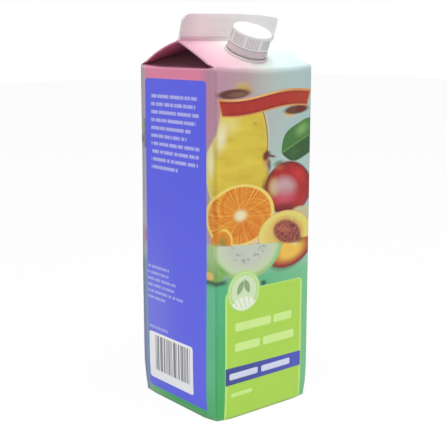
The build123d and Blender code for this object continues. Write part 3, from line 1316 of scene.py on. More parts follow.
@dataclass
class Carton:
    """The folded board: walls, folded base, gable with its end pockets, and the sealed fin."""

    width: float = 70.2 * MM
    wall_height: float = 199.5 * MM
    board: float = 0.45 * MM
    crease_radius: float = 1.15 * MM
    corner_swell: float = 0.45 * MM
    wall_swell: float = 0.6 * MM
    corner_sag: float = 0.55 * MM
    foot_radius: float = 1.2 * MM
    base_rim: float = 4.0 * MM
    base_lift: float = 1.2 * MM
    base_lap: float = 6.0 * MM
    shoulder_radius: float = 1.6 * MM
    shoulder_lift: float = 1.1 * MM
    shoulder_dip: float = 1.5 * MM
    ridge_rise: float = 14.9 * MM
    ridge_forward: float = 2.0 * MM
    back_bow: float = 1.9 * MM
    front_bow: float = 0.25 * MM
    fin_thickness: float = 1.8 * MM
    fin_height: float = 15.2 * MM
    fin_lean: float = radians(13.0)
    fin_setback: float = 0.4 * MM
    fin_droop: float = 1.3 * MM
    fin_corners: tuple[float, float] = (4.4 * MM, 1.6 * MM)
    foot_tucks: Triple = (1.1 * MM, 0.25 * MM, 0.6 * MM)
    under_roof_shift: float = 30.0
    grid_columns: int = 14
    grid_rows: int = 20

    def __post_init__(self) -> None:
        """Works out the gable's lines, and the fin's direction, from the sizes."""
        self.half = self.width / 2
        self.flat = self.half - self.crease_radius
        self.wing = 2 * self.board
        self.ridge_z = self.wall_height + self.ridge_rise
        self.ridge_front_y = -self.ridge_forward - self.fin_thickness / 2
        self.ridge_back_y = -self.ridge_forward + self.fin_thickness / 2
        self.front_slope = atan2(self.ridge_rise, self.ridge_front_y + self.half)
        self.back_slope = atan2(self.ridge_rise, self.half - self.ridge_back_y)
        self.fin_up = Vector((0, -sin(self.fin_lean), cos(self.fin_lean)))

    def build(self, print_finish: Material, edge_finish: Material) -> Object:
        """Folds the board, from a block to the finished and dressed mesh.

        Args:
            print_finish: The printed board.
            edge_finish: The board's cut edge.

        Returns:
            The carton.
        """
        piece = Workpiece("carton_board", self.add_block)
        self.fold_base(piece)
        self.cut_roof(piece)
        self.fold_pockets(piece)
        self.raise_fin(piece)
        self.round_foot(piece)
        self.divide(piece)
        piece.shift(self.push)
        item = piece.close()
        soften(item, 0.28 * MM, 2, 30.0)
        self.unfold(item)
        self.dress(item, print_finish, edge_finish)
        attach(item, "root")
        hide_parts("carton")
        return item

    def add_block(self) -> None:
        """Adds the block that the carton is cut from, as high as the ridge."""
        bpy.ops.mesh.primitive_cube_add(
            size=1,
            location=(0, 0, self.ridge_z / 2),
            scale=(self.width, self.width, self.ridge_z),
        )

    def cut_roof(self, piece: Workpiece) -> None:
        """Cuts both roof slopes, and rounds the upright creases and both shoulders.

        Args:
            piece: The carton's workpiece.
        """
        half, top = self.half, self.wall_height
        for shoulder_y, slope in ((-half, -self.front_slope), (half, self.back_slope)):
            normal = Vector((0, sin(slope), cos(slope)))
            piece.cut(Vector((0, shoulder_y, top)), normal, whole=True, drop=True)
        piece.pick(Element.EDGE, lambda a, b: abs(a.z - b.z) > top / 2)
        piece.bevel(self.crease_radius, 4)
        piece.pick(
            Element.EDGE,
            lambda a, b: min(a.z, b.z) > top - MM
            and max(a.z, b.z) < top + MM
            and min(abs(a.y), abs(b.y)) > self.flat - FINE,
        )
        piece.bevel(self.shoulder_radius, 4)

    def inner_line(self, side: int) -> tuple[Vector, Vector]:
        """The plane under one roof slope that bounds the pocket's mouth.

        Args:
            side: -1 for the front slope, 1 for the back slope.

        Returns:
            A point on the plane and its normal.
        """
        slope = self.front_slope if side < 0 else self.back_slope
        normal = Vector((0, side * sin(slope), cos(slope)))
        return Vector((0, side * self.half, self.wall_height)) - normal * self.wing, normal

    def pocket_top(self) -> Vector:
        """Where the pocket's two upper mouth lines meet, in the middle plane.

        Returns:
            The point.
        """
        front, back = tan(self.front_slope), tan(self.back_slope)
        front_drop = self.wing / cos(self.front_slope)
        back_drop = self.wing / cos(self.back_slope)
        y = (self.half * (back - front) + front_drop - back_drop) / (front + back)
        return Vector((0, y, self.wall_height + (y + self.half) * front - front_drop))

    def fold_pockets(self, piece: Workpiece) -> None:
        """Folds the side walls in under the roof, at both ends.

        Args:
            piece: The carton's workpiece.
        """
        half, top = self.half, self.wall_height
        lines = self.inner_line(-1), self.inner_line(1)
        for point, normal in ((Vector((0, 0, top)), UP), *lines):
            piece.pick(Element.FACE, lambda c, n: abs(n.x) > 0.99)
            piece.cut(point, normal)
        apex = self.pocket_top()
        for side in (-1, 1):
            piece.pick(
                Element.FACE,
                lambda c, n: n.x * side > 0.99
                and c.z > top
                and all((c - point).dot(normal) < 0 for point, normal in lines),
            )
            piece.extrude(ORIGIN)
            piece.scale(ORIGIN, Vector((side * MM, apex.y, apex.z)))
            bpy.ops.mesh.remove_doubles(threshold=FINE)
        mouth = half - self.wing / sin(self.front_slope) + MM
        piece.pick(
            Element.EDGE,
            lambda a, b: all(
                abs(abs(end.x) - half) < FINE and abs(end.z - top) < FINE and abs(end.y) < mouth
                for end in (a, b)
            ),
        )
        piece.bevel(self.shoulder_radius, 4)

    def raise_fin(self, piece: Workpiece) -> None:
        """Raises the sealed fin from the ridge, with one well-rounded and one crisp corner.

        Args:
            piece: The carton's workpiece.
        """
        ridge = Vector((0, -self.ridge_forward, self.ridge_z))
        piece.pick(Element.FACE, lambda c, n: n.z > 0.99 and c.z > self.ridge_z - SLACK)
        piece.extrude(ORIGIN)
        piece.scale(Vector((1 - self.fin_setback / self.half, 1, 1)), ridge)
        piece.extrude(self.fin_up * self.fin_height)
        rounded, crisp = self.fin_corners
        for side, radius, steps in ((-1, rounded, 8), (1, crisp, 4)):
            piece.pick(
                Element.EDGE,
                lambda a, b: min(a.z, b.z) > self.ridge_z + self.fin_height / 2
                and abs(a.x - b.x) < FINE
                and a.x * side > 0,
            )
            piece.bevel(radius, steps)
        for share in (0.12, 0.35, 0.6):
            height = self.ridge_z + self.fin_height * cos(self.fin_lean) * share
            piece.pick(Element.FACE, lambda c, n: c.z > self.ridge_z + SLACK and abs(n.z) < 0.5)
            piece.cut(Vector((0, 0, height)), UP)

    def fold_base(self, piece: Workpiece) -> None:
        """Folds the base: a rim to stand on, and two lapped panels above it.

        Args:
            piece: The carton's workpiece.
        """
        piece.pick(Element.FACE, lambda c, n: n.z < -0.99 and c.z < MM)
        bpy.ops.mesh.inset(thickness=self.base_rim)
        piece.extrude(Vector((0, 0, self.base_lift)))
        piece.cut(Vector((0, self.base_lap, 0)), Vector((0, 1, 0)))
        piece.pick(
            Element.FACE,
            lambda c, n: abs(n.z) > 0.99
            and abs(c.z - self.base_lift) < FINE
            and c.y < self.base_lap,
        )
        piece.extrude(Vector((0, 0, -self.board)))

    def round_foot(self, piece: Workpiece) -> None:
        """Rounds the fold between the walls and the rim.

        Args:
            piece: The carton's workpiece.
        """
        piece.pick(
            Element.EDGE,
            lambda a, b: all(
                end.z < FINE and max(abs(end.x), abs(end.y)) > self.flat - FINE for end in (a, b)
            ),
        )
        piece.bevel(self.foot_radius, 3)

    def divide(self, piece: Workpiece) -> None:
        """Divides the panels into a grid that is fine enough to swell and bow.

        Args:
            piece: The carton's workpiece.
        """
        for column in range(1, self.grid_columns):
            place = (2 * column / self.grid_columns - 1) * self.flat
            piece.cut(Vector((place, 0, 0)), Vector((1, 0, 0)), whole=True)
            piece.cut(Vector((0, place, 0)), Vector((0, 1, 0)), whole=True)
        top = self.wall_height - self.shoulder_radius - MM
        rows = [top * row / self.grid_rows for row in range(1, self.grid_rows)]
        rows += [top - 4 * MM, top, 3 * MM]
        for height in rows:
            piece.cut(Vector((0, 0, height)), UP, whole=True)

    def push(self, place: Vector) -> Vector:
        """How far the drink, the folding and the handling push a point of the board.

        Args:
            place: The point on the crisp carton.

        Returns:
            Its move.
        """
        move = ORIGIN.copy()
        if place.z < self.wall_height + 2 * MM:
            self.swell(place, move)
        self.tuck_foot(place, move)
        self.bend_shoulders(place, move)
        self.bow_roof(place, move)
        self.curl_fin(place, move)
        return move

    def swell(self, place: Vector, move: Vector) -> None:
        """Adds the walls' outward swell, with the corners pushed out less.

        Args:
            place: The point on the crisp carton.
            move: Its move so far, which this one is added to.
        """
        share = place.z / self.wall_height
        rise = smooth(share * 9)
        sag = self.corner_sag * smooth((150 * MM - place.z) / (80 * MM)) * rise
        belly = max(0.0, 1 - (2 * share - 1) ** 4) * smooth((1 - share) * 8)
        for axis, other in ((0, 1), (1, 0)):
            depth = smooth((abs(place[axis]) - self.half + 4 * MM) / (3 * MM))
            across = max(0.0, 1 - (place[other] / self.half) ** 2)
            out = self.corner_swell * rise + self.wall_swell * belly * across
            if place.x < 0 < place.y:
                out += sag * (abs(place[other]) / self.half) ** 3
            move[axis] += out * depth * (1 if place[axis] > 0 else -1)

    def tuck_foot(self, place: Vector, move: Vector) -> None:
        """Draws the foot's four corners in and up, where the base is folded under.

        Args:
            place: The point on the crisp carton.
            move: Its move so far, which this one is added to.
        """
        low = smooth(1 - place.z / (8 * MM))
        corner = smooth((abs(place.x) + abs(place.y)) / (2 * self.half) * 6 - 5)
        front_left, back_left, right = self.foot_tucks
        tuck = right
        if place.x < 0:
            tuck = front_left if place.y < 0 else back_left
        move.x -= tuck * low * corner * (1 if place.x > 0 else -1)
        move.y -= tuck * low * corner * (1 if place.y > 0 else -1)
        move.z += 0.5 * MM * low * corner

    def bend_shoulders(self, place: Vector, move: Vector) -> None:
        """Lifts the shoulders' ends and lets their middles dip.

        Args:
            place: The point on the crisp carton.
            move: Its move so far, which this one is added to.
        """
        for axis, other in ((0, 1), (1, 0)):
            edge = smooth(1 - (self.half - abs(place[axis])) / (8 * MM))
            height = place.z - self.wall_height
            near = smooth(1 + height / (12 * MM)) if height < 0 else smooth(1 - height / (5 * MM))
            ends = (place[other] / self.half) ** 2
            if axis == 1:
                lift = (self.shoulder_lift + self.shoulder_dip) * ends - self.shoulder_dip
            else:
                lift = self.shoulder_lift * max(0.0, ends - 0.85) / 0.15 - 0.5 * MM * (1 - ends)
            if axis == 1 or abs(place.y) < self.flat:
                move.z += lift * edge * near

    def bow_roof(self, place: Vector, move: Vector) -> None:
        """Bows the back slope outwards, and the front one very little.

        Args:
            place: The point on the crisp carton.
            move: Its move so far, which this one is added to.
        """
        rise = place.z - self.wall_height
        if rise <= 0 or place.z > self.ridge_z + SLACK:
            return
        back = place.y > -self.ridge_forward
        slope = self.back_slope if back else self.front_slope
        depth = self.half - abs(place.y) if back else self.half + place.y
        under = depth * tan(slope) - rise
        near = smooth(1 - under / (7 * MM))
        reach = self.half - (self.ridge_back_y if back else -self.ridge_front_y)
        share = min(max(depth / reach, 0.0), 1.0)
        bow = self.back_bow if back else self.front_bow
        out = bow * sin(pi * share) ** 0.8 * near
        move.y += out * sin(slope) * (1 if back else -1)
        move.z += out * cos(slope)

    def curl_fin(self, place: Vector, move: Vector) -> None:
        """Waves the fin a little and lets one of its top corners droop.

        Args:
            place: The point on the crisp carton.
            move: Its move so far, which this one is added to.
        """
        rise = (place.z - self.ridge_z) / self.fin_height
        if rise <= 0:
            return
        across = place.x / self.half
        move.y += (0.5 * sin(2.6 * across + 0.6) - 0.35 * across * across) * MM * smooth(rise)
        move.z -= self.fin_droop * smooth((across - 0.55) / 0.45) * rise
        move.z += 0.25 * MM * cos(3.0 * across) * rise
        move.x += 0.45 * MM * smooth((across - 0.8) / 0.2) * rise

    def unfold(self, item: Object) -> None:
        """Writes the map from the folded board back to its flat blank, in millimetres.

        Args:
            item: The carton.
        """
        mesh = item.data
        layer = fresh_map(mesh, BLANK)
        for face in mesh.polygons:
            panel = self.panel_of(face.center, face.normal)
            corner = min(abs(face.center.x), abs(face.center.y)) > self.flat + SLACK
            # Faces under the roof are mapped higher up the blank, where the wings' painted shade is
            # laid.
            shift = self.under_roof_shift if self.under_roof(face.center, face.normal) else 0.0
            for loop in face.loop_indices:
                place = mesh.vertices[mesh.loops[loop].vertex_index].co
                along = self.along(place, panel)
                if corner and face.center.z < self.wall_height + MM:
                    along = self.around(place)
                layer.data[loop].uv = (along, self.up(place, panel, face.normal) + shift)

    def panel_of(self, centre: Vector, normal: Vector) -> Panel:
        """Which panel of the blank a face belongs to.

        Args:
            centre: The face's centre.
            normal: Its normal.

        Returns:
            The panel.
        """
        left_or_right = Panel.LEFT if centre.x < 0 else Panel.RIGHT
        gable = self.wall_height + 0.3 * MM < centre.z < self.ridge_z
        if gable and abs(normal.x) < 0.9 and (normal.z < -0.2 or abs(normal.x) > 0.15):
            return left_or_right
        if self.under_roof(centre, normal):
            return left_or_right
        upright = abs(normal.z) < 0.75 and centre.z < self.wall_height + MM
        if upright and abs(normal.x) > abs(normal.y):
            return left_or_right
        if centre.z < 4 * MM and abs(centre.x) > abs(centre.y):
            return left_or_right
        if centre.z > self.ridge_z:
            return Panel.FRONT if normal.y < 0 else Panel.BACK
        rim = abs(centre.x) > self.half - 2 * MM and abs(centre.y) < self.flat
        if centre.z < self.wall_height + MM and rim and abs(normal.x) > 0.15:
            return left_or_right
        return Panel.FRONT if centre.y < -self.ridge_forward else Panel.BACK

    def under_roof(self, centre: Vector, normal: Vector) -> bool:
        """Whether a face is a roof wing's underside, or the back wing's outer fold.

        Args:
            centre: The face's centre.
            normal: Its normal.

        Returns:
            True if it is.
        """
        if not self.wall_height + 0.3 * MM < centre.z < self.ridge_z:
            return False
        fold = centre.z > self.wall_height + 1.7 * MM and centre.y > -self.ridge_forward
        return normal.z < -0.2 or (fold and abs(normal.x) >= 0.9)

    def along(self, place: Vector, panel: Panel) -> float:
        """How far along the blank a point of a panel lies, in mm.

        Args:
            place: The point.
            panel: The panel.

        Returns:
            The distance from the seam's edge.
        """
        offset = {
            Panel.LEFT: -place.y,
            Panel.FRONT: place.x,
            Panel.RIGHT: place.y,
            Panel.BACK: -place.x,
        }[panel]
        limit = self.half - MM if place.z > self.wall_height + 2 * MM else self.width
        return panel.value + min(max(offset, -limit), limit) / MM

    def around(self, place: Vector) -> float:
        """How far along the blank a point of a rounded corner lies, in mm.

        Args:
            place: The point.

        Returns:
            The distance from the seam's edge.
        """
        depth_x = max(abs(place.x) - self.flat, 0.0)
        depth_y = max(abs(place.y) - self.flat, 0.0)
        turn = atan2(depth_y, depth_x) / (pi / 2) - 0.5
        offset = 2 * self.crease_radius / MM * turn
        if place.x < 0:
            return PANEL_WIDTH + offset if place.y < 0 else 4 * PANEL_WIDTH - offset
        return 2 * PANEL_WIDTH - offset if place.y < 0 else 3 * PANEL_WIDTH + offset

    def up(self, place: Vector, panel: Panel, normal: Vector) -> float:
        """How far up the blank a point of a panel lies, in mm.

        Args:
            place: The point.
            panel: The panel.
            normal: The normal of the point's face.

        Returns:
            The height above the base fold.
        """
        roof_depth = (self.half + self.ridge_front_y) / cos(self.front_slope) / MM
        top = self.wall_height / MM
        if place.z > self.ridge_z:
            return top + roof_depth + (place.z - self.ridge_z) / cos(self.fin_lean) / MM
        if place.z < 2 * MM and normal.z < -0.7:
            return -(self.half - max(abs(place.x), abs(place.y))) / MM
        level = min(place.z, self.wall_height) / MM
        if panel in (Panel.LEFT, Panel.RIGHT):
            return level + max(0.0, self.half - abs(place.x)) / MM
        depth = self.half - abs(place.y) if place.z > self.wall_height - 3 * MM else 0.0
        return level + max(0.0, depth) / cos(self.front_slope) / MM

    def dress(self, item: Object, print_finish: Material, edge_finish: Material) -> None:
        """Gives the cut edges, on the fin and inside the rim, bare fibre, and the rest the print.

        Args:
            item: The carton.
            print_finish: The printed board.
            edge_finish: The board's cut edge.
        """
        item.data.materials.append(print_finish)
        item.data.materials.append(edge_finish)
        for face in item.data.polygons:
            fin = face.center.z > self.ridge_z + self.fin_height * 0.45
            inner = max(abs(face.center.x), abs(face.center.y)) < self.half - 2 * MM
            lap = inner and face.center.z < self.base_lift + 0.3 * MM and abs(face.normal.z) < 0.85
            end = face.center.z > self.ridge_z + 0.2 * MM and abs(face.normal.x) > 0.7
            cut = (fin and face.normal.dot(self.fin_up) > 0.45) or lap or end
            face.material_index = 1 if cut else 0


@dataclass(frozen=True)
class Turned:
    """One step of a round part: the radius that the next ring grows to, and its rise."""

    radius: float
    rise: float


@dataclass
class Closure:
    """The moulded closure on the front slope: spout, tamper ring and ribbed screw cap."""

    carton: Carton
    shoulder_forward: float = 35.0 * MM
    up_slope: float = 18.4 * MM
    sides: int = 96
    cap_sides: int = 360
    flange_radius: float = 12.7 * MM
    flange_height: float = 0.9 * MM
    lip_radius: float = 12.0 * MM
    lip_height: float = 0.6 * MM
    collar_radius: float = 10.9 * MM
    collar_height: float = 1.2 * MM
    neck_radius: float = 9.2 * MM
    neck_top: float = 13.0 * MM
    band_foot: float = 2.35 * MM
    band_height: float = 3.7 * MM
    band_radius: float = 11.6 * MM
    band_flare: float = 0.3 * MM
    band_wall: float = 1.5 * MM
    bridges: int = 12
    cap_foot: float = 6.3 * MM
    cap_height: float = 8.3 * MM
    cap_radius: float = 11.6 * MM
    cap_taper: float = 0.3 * MM
    cap_edge: float = 0.8 * MM
    cap_wall: float = 2.3 * MM
    cap_top: float = 1.5 * MM
    cap_dish: float = 0.25 * MM
    cap_turn: float = radians(-9.5)
    rib_groups: int = 8
    ribs_in_group: int = 4
    rib_pitch: float = radians(8.0)
    rib_width: float = radians(4.0)
    rib_depth: float = 0.3 * MM

    def stand(self, item: Object, node: str, finish: Material) -> Object:
        """Stands a part that was turned upright on the front slope, dresses it and registers it.

        Args:
            item: The part, turned about the upright axis with its panel at height 0.
            node: The CAD node that it stands for.
            finish: Its material.

        Returns:
            The part.
        """
        slope = self.carton.front_slope
        shoulder = Vector((0, -self.shoulder_forward, self.carton.wall_height))
        place = shoulder + Vector((0, cos(slope), sin(slope))) * self.up_slope
        activate(item)
        item.rotation_euler = (slope, 0.0, 0.0)
        item.location = place
        bpy.ops.object.transform_apply(location=True, rotation=True, scale=True)
        item.data.materials.clear()
        item.data.materials.append(finish)
        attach(item, "root")
        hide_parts(node)
        return item

    def add_disc(self, radius: float, height: float, foot: float, sides: int) -> None:
        """Adds a round blank that stands on its foot.

        Args:
            radius: Its radius.
            height: Its height.
            foot: The height of its lower face.
            sides: How many sides it has.
        """
        bpy.ops.mesh.primitive_cylinder_add(
            vertices=sides, radius=radius, depth=height, location=(0, 0, foot + height / 2)
        )

    def turn_up(self, piece: Workpiece, radius: float, steps: tuple[Turned, ...]) -> None:
        """Extrudes the selected round face in steps.

        Args:
            piece: The workpiece.
            radius: The face's radius.
            steps: Each step's new radius, reached first, and its rise.
        """
        for step in steps:
            piece.extrude(ORIGIN)
            share = step.radius / radius
            piece.scale(Vector((share, share, 1)), ORIGIN)
            bpy.ops.transform.translate(value=(0, 0, step.rise))
            radius = step.radius

    def build_spout(self, finish: Material) -> Object:
        """Turns the flange, its lip, the collar and the neck.

        Args:
            finish: Its material.

        Returns:
            The spout.
        """
        piece = Workpiece(
            "spout_flange",
            lambda: self.add_disc(self.flange_radius, self.flange_height, 0.0, self.sides),
        )
        piece.pick(Element.FACE, lambda c, n: n.z > 0.99)
        lip = (
            Turned(self.lip_radius + 0.25 * MM, 0.0),
            Turned(self.lip_radius, self.lip_height),
        )
        collar = (
            Turned(self.collar_radius + 0.35 * MM, 0.0),
            Turned(self.collar_radius + 0.25 * MM, -self.lip_height + 0.1 * MM),
            Turned(self.collar_radius, 0.0),
            Turned(self.collar_radius, self.collar_height - 0.1 * MM),
        )
        neck = (
            Turned(self.neck_radius, 0.0),
            Turned(self.neck_radius, self.neck_top - self.flange_height - self.collar_height),
            Turned(self.neck_radius - 1.0 * MM, 0.0),
            Turned(self.neck_radius - 1.2 * MM, -2.0 * MM),
        )
        self.turn_up(piece, self.flange_radius, lip + collar + neck)
        item = piece.close()
        soften(item, 0.16 * MM, 2, 35.0)
        return self.stand(item, "spout", finish)

    def build_band(self, finish: Material) -> Object:
        """Turns the tamper ring, flares its foot and adds its tear bridges.

        Args:
            finish: Its material.

        Returns:
            The ring.
        """
        piece = Workpiece(
            "tamper_ring",
            lambda: self.add_disc(self.band_radius, self.band_height, self.band_foot, self.sides),
        )
        piece.pick(Element.FACE, lambda c, n: abs(n.z) > 0.99)
        bpy.ops.mesh.inset(thickness=self.band_wall)
        piece.pick(Element.FACE, lambda c, n: abs(n.z) > 0.99 and hypot(c.x, c.y) < MM)
        bpy.ops.mesh.bridge_edge_loops()
        for share in (0.25, 0.4):
            level = self.band_foot + self.band_height * share
            piece.pick(Element.FACE, lambda c, n: hypot(c.x, c.y) > self.band_radius - 0.2 * MM)
            piece.cut(Vector((0, 0, level)), UP)
        flare = 1 + self.band_flare / self.band_radius
        low = self.band_foot + self.band_height * 0.3
        piece.pick(
            Element.VERTEX,
            lambda v: v.z < low and hypot(v.x, v.y) > self.band_radius - 0.2 * MM,
        )
        piece.scale(Vector((flare, flare, 1)), ORIGIN)
        item = piece.close()
        soften(item, 0.14 * MM, 2, 35.0)
        self.add_bridges(item)
        return self.stand(item, "tamper_band", finish)

    def add_bridges(self, item: Object) -> None:
        """Models one tear bridge between ring and cap, and repeats it round the ring.

        Args:
            item: The ring.
        """
        foot = self.band_foot + self.band_height - 0.1 * MM
        top = self.cap_foot + 0.05 * MM
        piece = Workpiece(
            "tear_bridge",
            lambda: bpy.ops.mesh.primitive_cube_add(
                size=1,
                location=(self.band_radius - 0.45 * MM, 0, (foot + top) / 2),
                scale=(0.5 * MM, 0.8 * MM, top - foot),
            ),
        )
        piece.pick(Element.EDGE, lambda a, b: abs(a.z - b.z) > FINE)
        piece.bevel(0.12 * MM, 2)
        first = piece.close()
        bridges = [first]
        for index in range(1, self.bridges):
            bridge = first.copy()
            bridge.data = first.data.copy()
            bpy.context.scene.collection.objects.link(bridge)
            bridge.rotation_euler.z = 2 * pi * (index + 0.3) / self.bridges
            bridges.append(bridge)
        activate(item)
        for bridge in bridges:
            bridge.select_set(True)
        bpy.ops.object.join()

    def build_cap(self, finish: Material) -> Object:
        """Turns the screw cap, raises its ribs and hollows it for the neck.

        Args:
            finish: Its material.

        Returns:
            The cap.
        """
        height = self.cap_height
        piece = Workpiece(
            "screw_cap",
            lambda: self.add_disc(self.cap_radius, height, self.cap_foot, self.cap_sides),
        )
        for row in (0.75 * MM, 1.0 * MM, height * 0.45, height - 1.5 * MM, height - 1.2 * MM):
            piece.pick(Element.FACE, lambda c, n: abs(n.z) < 0.5)
            piece.cut(Vector((0, 0, self.cap_foot + row)), UP)
        self.raise_ribs(piece)
        self.round_top(piece)
        self.hollow(piece)
        piece.shift(self.taper)
        item = piece.close()
        soften(item, 0.12 * MM, 2, 38.0)
        self.unroll(item)
        return self.stand(item, "cap", finish)

    def unroll(self, item: Object) -> None:
        """Writes the map of the cap's side: degrees round it, and mm above the panel.

        Args:
            item: The cap.
        """
        mesh = item.data
        layer = fresh_map(mesh, TURNED)
        for face in mesh.polygons:
            middle = atan2(face.center.y, face.center.x)
            for loop in face.loop_indices:
                place = mesh.vertices[mesh.loops[loop].vertex_index].co
                turn = (atan2(place.y, place.x) - middle + pi) % (2 * pi) - pi + middle
                layer.data[loop].uv = (degrees(turn - self.cap_turn) + 360.0, place.z / MM)

    def in_rib(self, place: Vector) -> bool:
        """Whether a point of the cap's side lies in a rib.

        Args:
            place: The point.

        Returns:
            True if it does.
        """
        turn = (atan2(place.y, place.x) - self.cap_turn) % (2 * pi / self.rib_groups)
        middle = pi / self.rib_groups
        for rib in range(self.ribs_in_group):
            centre = middle + (rib - (self.ribs_in_group - 1) / 2) * self.rib_pitch
            if abs(turn - centre) < self.rib_width / 2 - 1e-4:
                return True
        return False

    def raise_ribs(self, piece: Workpiece) -> None:
        """Raises the groups of grip ribs from the cap's side.

        Args:
            piece: The cap's workpiece.
        """
        low = self.cap_foot + 0.9 * MM
        high = self.cap_foot + self.cap_height - 1.35 * MM
        piece.pick(
            Element.FACE,
            lambda c, n: abs(n.z) < 0.5 and low < c.z < high and self.in_rib(c),
        )
        bpy.ops.mesh.extrude_region_shrink_fatten(
            TRANSFORM_OT_shrink_fatten={"value": -self.rib_depth}
        )

    def round_top(self, piece: Workpiece) -> None:
        """Rounds the cap's top edge, dishes its face and leaves the gate mark.

        Args:
            piece: The cap's workpiece.
        """
        top = self.cap_foot + self.cap_height
        piece.pick(Element.FACE, lambda c, n: n.z > 0.99 and c.z > top - SLACK)
        steps = []
        for index in range(1, 5):
            angle = index * pi / 8
            inward = self.cap_edge * (1 - cos(angle))
            rise = self.cap_edge * (sin(angle) - sin(angle - pi / 8))
            steps.append(Turned(self.cap_radius - inward, rise))
        self.turn_up(piece, self.cap_radius, tuple(steps))
        inner = self.cap_radius - self.cap_edge
        dish = (
            Turned(inner - 1.0 * MM, 0.0),
            Turned(inner - 1.3 * MM, -self.cap_dish),
            Turned(inner * 0.5, -0.05 * MM),
        )
        gate = (
            Turned(1.15 * MM, 0.0),
            Turned(1.0 * MM, 0.12 * MM),
            Turned(0.55 * MM, 0.0),
            Turned(0.45 * MM, -0.1 * MM),
        )
        self.turn_up(piece, inner, dish + gate)

    def hollow(self, piece: Workpiece) -> None:
        """Hollows the cap from below, round the neck.

        Args:
            piece: The cap's workpiece.
        """
        piece.pick(Element.FACE, lambda c, n: n.z < -0.99 and c.z < self.cap_foot + SLACK)
        inner = self.cap_radius - self.cap_wall
        depth = self.cap_height + self.cap_edge - self.cap_top
        steps = (Turned(inner, 0.0), Turned(inner, depth - self.cap_edge))
        self.turn_up(piece, self.cap_radius, steps)

    def taper(self, place: Vector) -> Vector:
        """Draws the cap in towards its top, and lowers the rounded edge to the cap's height.

        Args:
            place: A point of the cap.

        Returns:
            Its move.
        """
        share = (place.z - self.cap_foot) / self.cap_height
        inward = -self.cap_taper * max(share, 0.0) / self.cap_radius
        rise = (place.z - self.cap_foot - 1.2 * MM) / (self.cap_height - 2.4 * MM)
        return Vector((place.x * inward, place.y * inward, -self.cap_edge * smooth(rise)))


@dataclass(frozen=True)
class Lamp:
    """A soft area lamp that faces the carton."""

    name: str
    place: Triple
    size: float
    power: float
    target: Triple = (0.0, 0.0, 0.12)

    def build(self) -> None:
        """Hangs the lamp and turns it to its target."""
        light = bpy.data.lights.new(self.name, "AREA")
        light.energy = self.power
        light.size = self.size
        item = bpy.data.objects.new(self.name, light)
        bpy.context.scene.collection.objects.link(item)
        item.location = self.place
        sight = Vector(self.target) - item.location
        item.rotation_euler = sight.to_track_quat("-Z", "Y").to_euler()


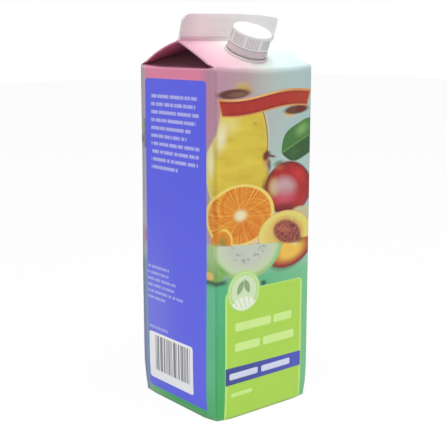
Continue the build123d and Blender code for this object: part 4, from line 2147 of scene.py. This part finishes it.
@dataclass(frozen=True)
class Studio:
    """The white floor, the soft light and the camera."""

    azimuth: float = radians(-39.16)
    elevation: float = radians(11.29)
    distance: float = 548.5 * MM
    aim: float = 120.0 * MM
    aside: float = -1.0 * MM
    lowered: float = -13.05 * MM
    lens: float = 73.85
    sensor: float = 36.0
    nearest: float = 0.01
    sky: float = 0.36
    floor_size: float = 8.0
    floor_white: Colour = (0.85, 0.85, 0.85)
    floor_roughness: float = 0.9
    floor_glow: float = 0.95
    lamps: tuple[Lamp, ...] = (
        Lamp("top_lamp", (-0.1, -0.3, 1.3), 0.8, 13.5),
        Lamp("side_lamp", (-1.3, -0.35, 0.7), 0.9, 3.2),
        Lamp("front_lamp", (0.9, -1.2, 0.7), 0.9, 3.0),
    )

    def build(self) -> None:
        """Sets up the floor, the world, the lamps and the camera."""
        self.lay_floor()
        self.light_world()
        for lamp in self.lamps:
            lamp.build()
        self.place_camera()
        bpy.context.scene.view_settings.view_transform = "Standard"

    def lay_floor(self) -> None:
        """Lays the plain white floor, which keeps the carton's shadow."""
        bpy.ops.object.select_all(action="DESELECT")
        bpy.ops.mesh.primitive_plane_add(size=self.floor_size, location=(0, 0, 0))
        floor = bpy.context.object
        floor.name = "floor"
        tree = Tree(bpy.data.materials.new("floor_white"))
        self_lit = tree.node("ShaderNodeEmission", {}, {"Color": (1.0, 1.0, 1.0), "Strength": 1.0})
        seen = tree.node("ShaderNodeLightPath", {}, {}, "Is Camera Ray")
        tree.finish(Base_Color=self.floor_white, Roughness=self.floor_roughness)
        body = Signal(tree, tree.shader.outputs[0])
        inputs = {0: seen * self.floor_glow, 1: body, 2: self_lit}
        both = tree.node("ShaderNodeMixShader", {}, inputs)
        tree.feed(tree.nodes["Material Output"].inputs["Surface"], both)
        floor.data.materials.append(tree.owner)

    def light_world(self) -> None:
        """Lights the world softly, and shows it white behind the carton."""
        world = bpy.data.worlds.new("studio")
        tree = Tree(world)
        bpy.context.scene.world = world
        camera_ray = tree.node("ShaderNodeLightPath", {}, {}, "Is Camera Ray")
        seen = camera_ray.greatest(camera_ray.other("Is Glossy Ray"))
        level = tree.node("ShaderNodeMapRange", {}, {0: seen, 3: self.sky, 4: 1.0})
        tree.finish(Color=(1.0, 1.0, 1.0), Strength=level)

    def place_camera(self) -> None:
        """Puts the camera at its viewing angle, level with the horizon."""
        right = Vector((cos(self.azimuth), sin(self.azimuth), 0))
        level = Vector((sin(self.azimuth), -cos(self.azimuth), 0))
        back = level * cos(self.elevation) + UP * sin(self.elevation)
        up = back.cross(right)
        camera = bpy.data.objects.new("camera", bpy.data.cameras.new("camera"))
        bpy.context.scene.collection.objects.link(camera)
        camera.data.lens = self.lens
        camera.data.sensor_width = self.sensor
        camera.data.clip_start = self.nearest
        aim = Vector((0, 0, self.aim))
        camera.location = aim + back * self.distance + right * self.aside + up * self.lowered
        camera.rotation_euler = Matrix((right, up, back)).transposed().to_euler()
        bpy.context.scene.camera = camera


def report(item: Object) -> None:
    """Reports a finished piece."""
    LOG.info("%s: %d faces, %s", item.name, len(item.data.polygons), item.data.materials[0].name)


def main() -> None:
    """Builds every piece in order and reports it."""
    logging.basicConfig(level=logging.INFO, format="%(message)s")
    carton = Carton()
    report(carton.build(PrintedBoard().build(), RawBoard().build()))
    closure = Closure(carton)
    # Painted shade and reflection: the spout and the tamper ring are a greyer, pinker copy of the
    # cap's white plastic, for the shade under the cap and the pink roof's reflection.
    spout_shaded = MouldedPlastic("spout_plastic_shaded", ink(208, 196, 199))
    cap_white = MouldedPlastic("cap_plastic", ink(229, 228, 227), roughness=0.3, rib_shade=0.24)
    band_shaded = MouldedPlastic("band_plastic_shaded", ink(203, 190, 194), roughness=0.34)
    report(closure.build_spout(spout_shaded.build()))
    report(closure.build_band(band_shaded.build()))
    report(closure.build_cap(cap_white.build()))
    Studio().build()


if __name__ == "__main__":
    main()
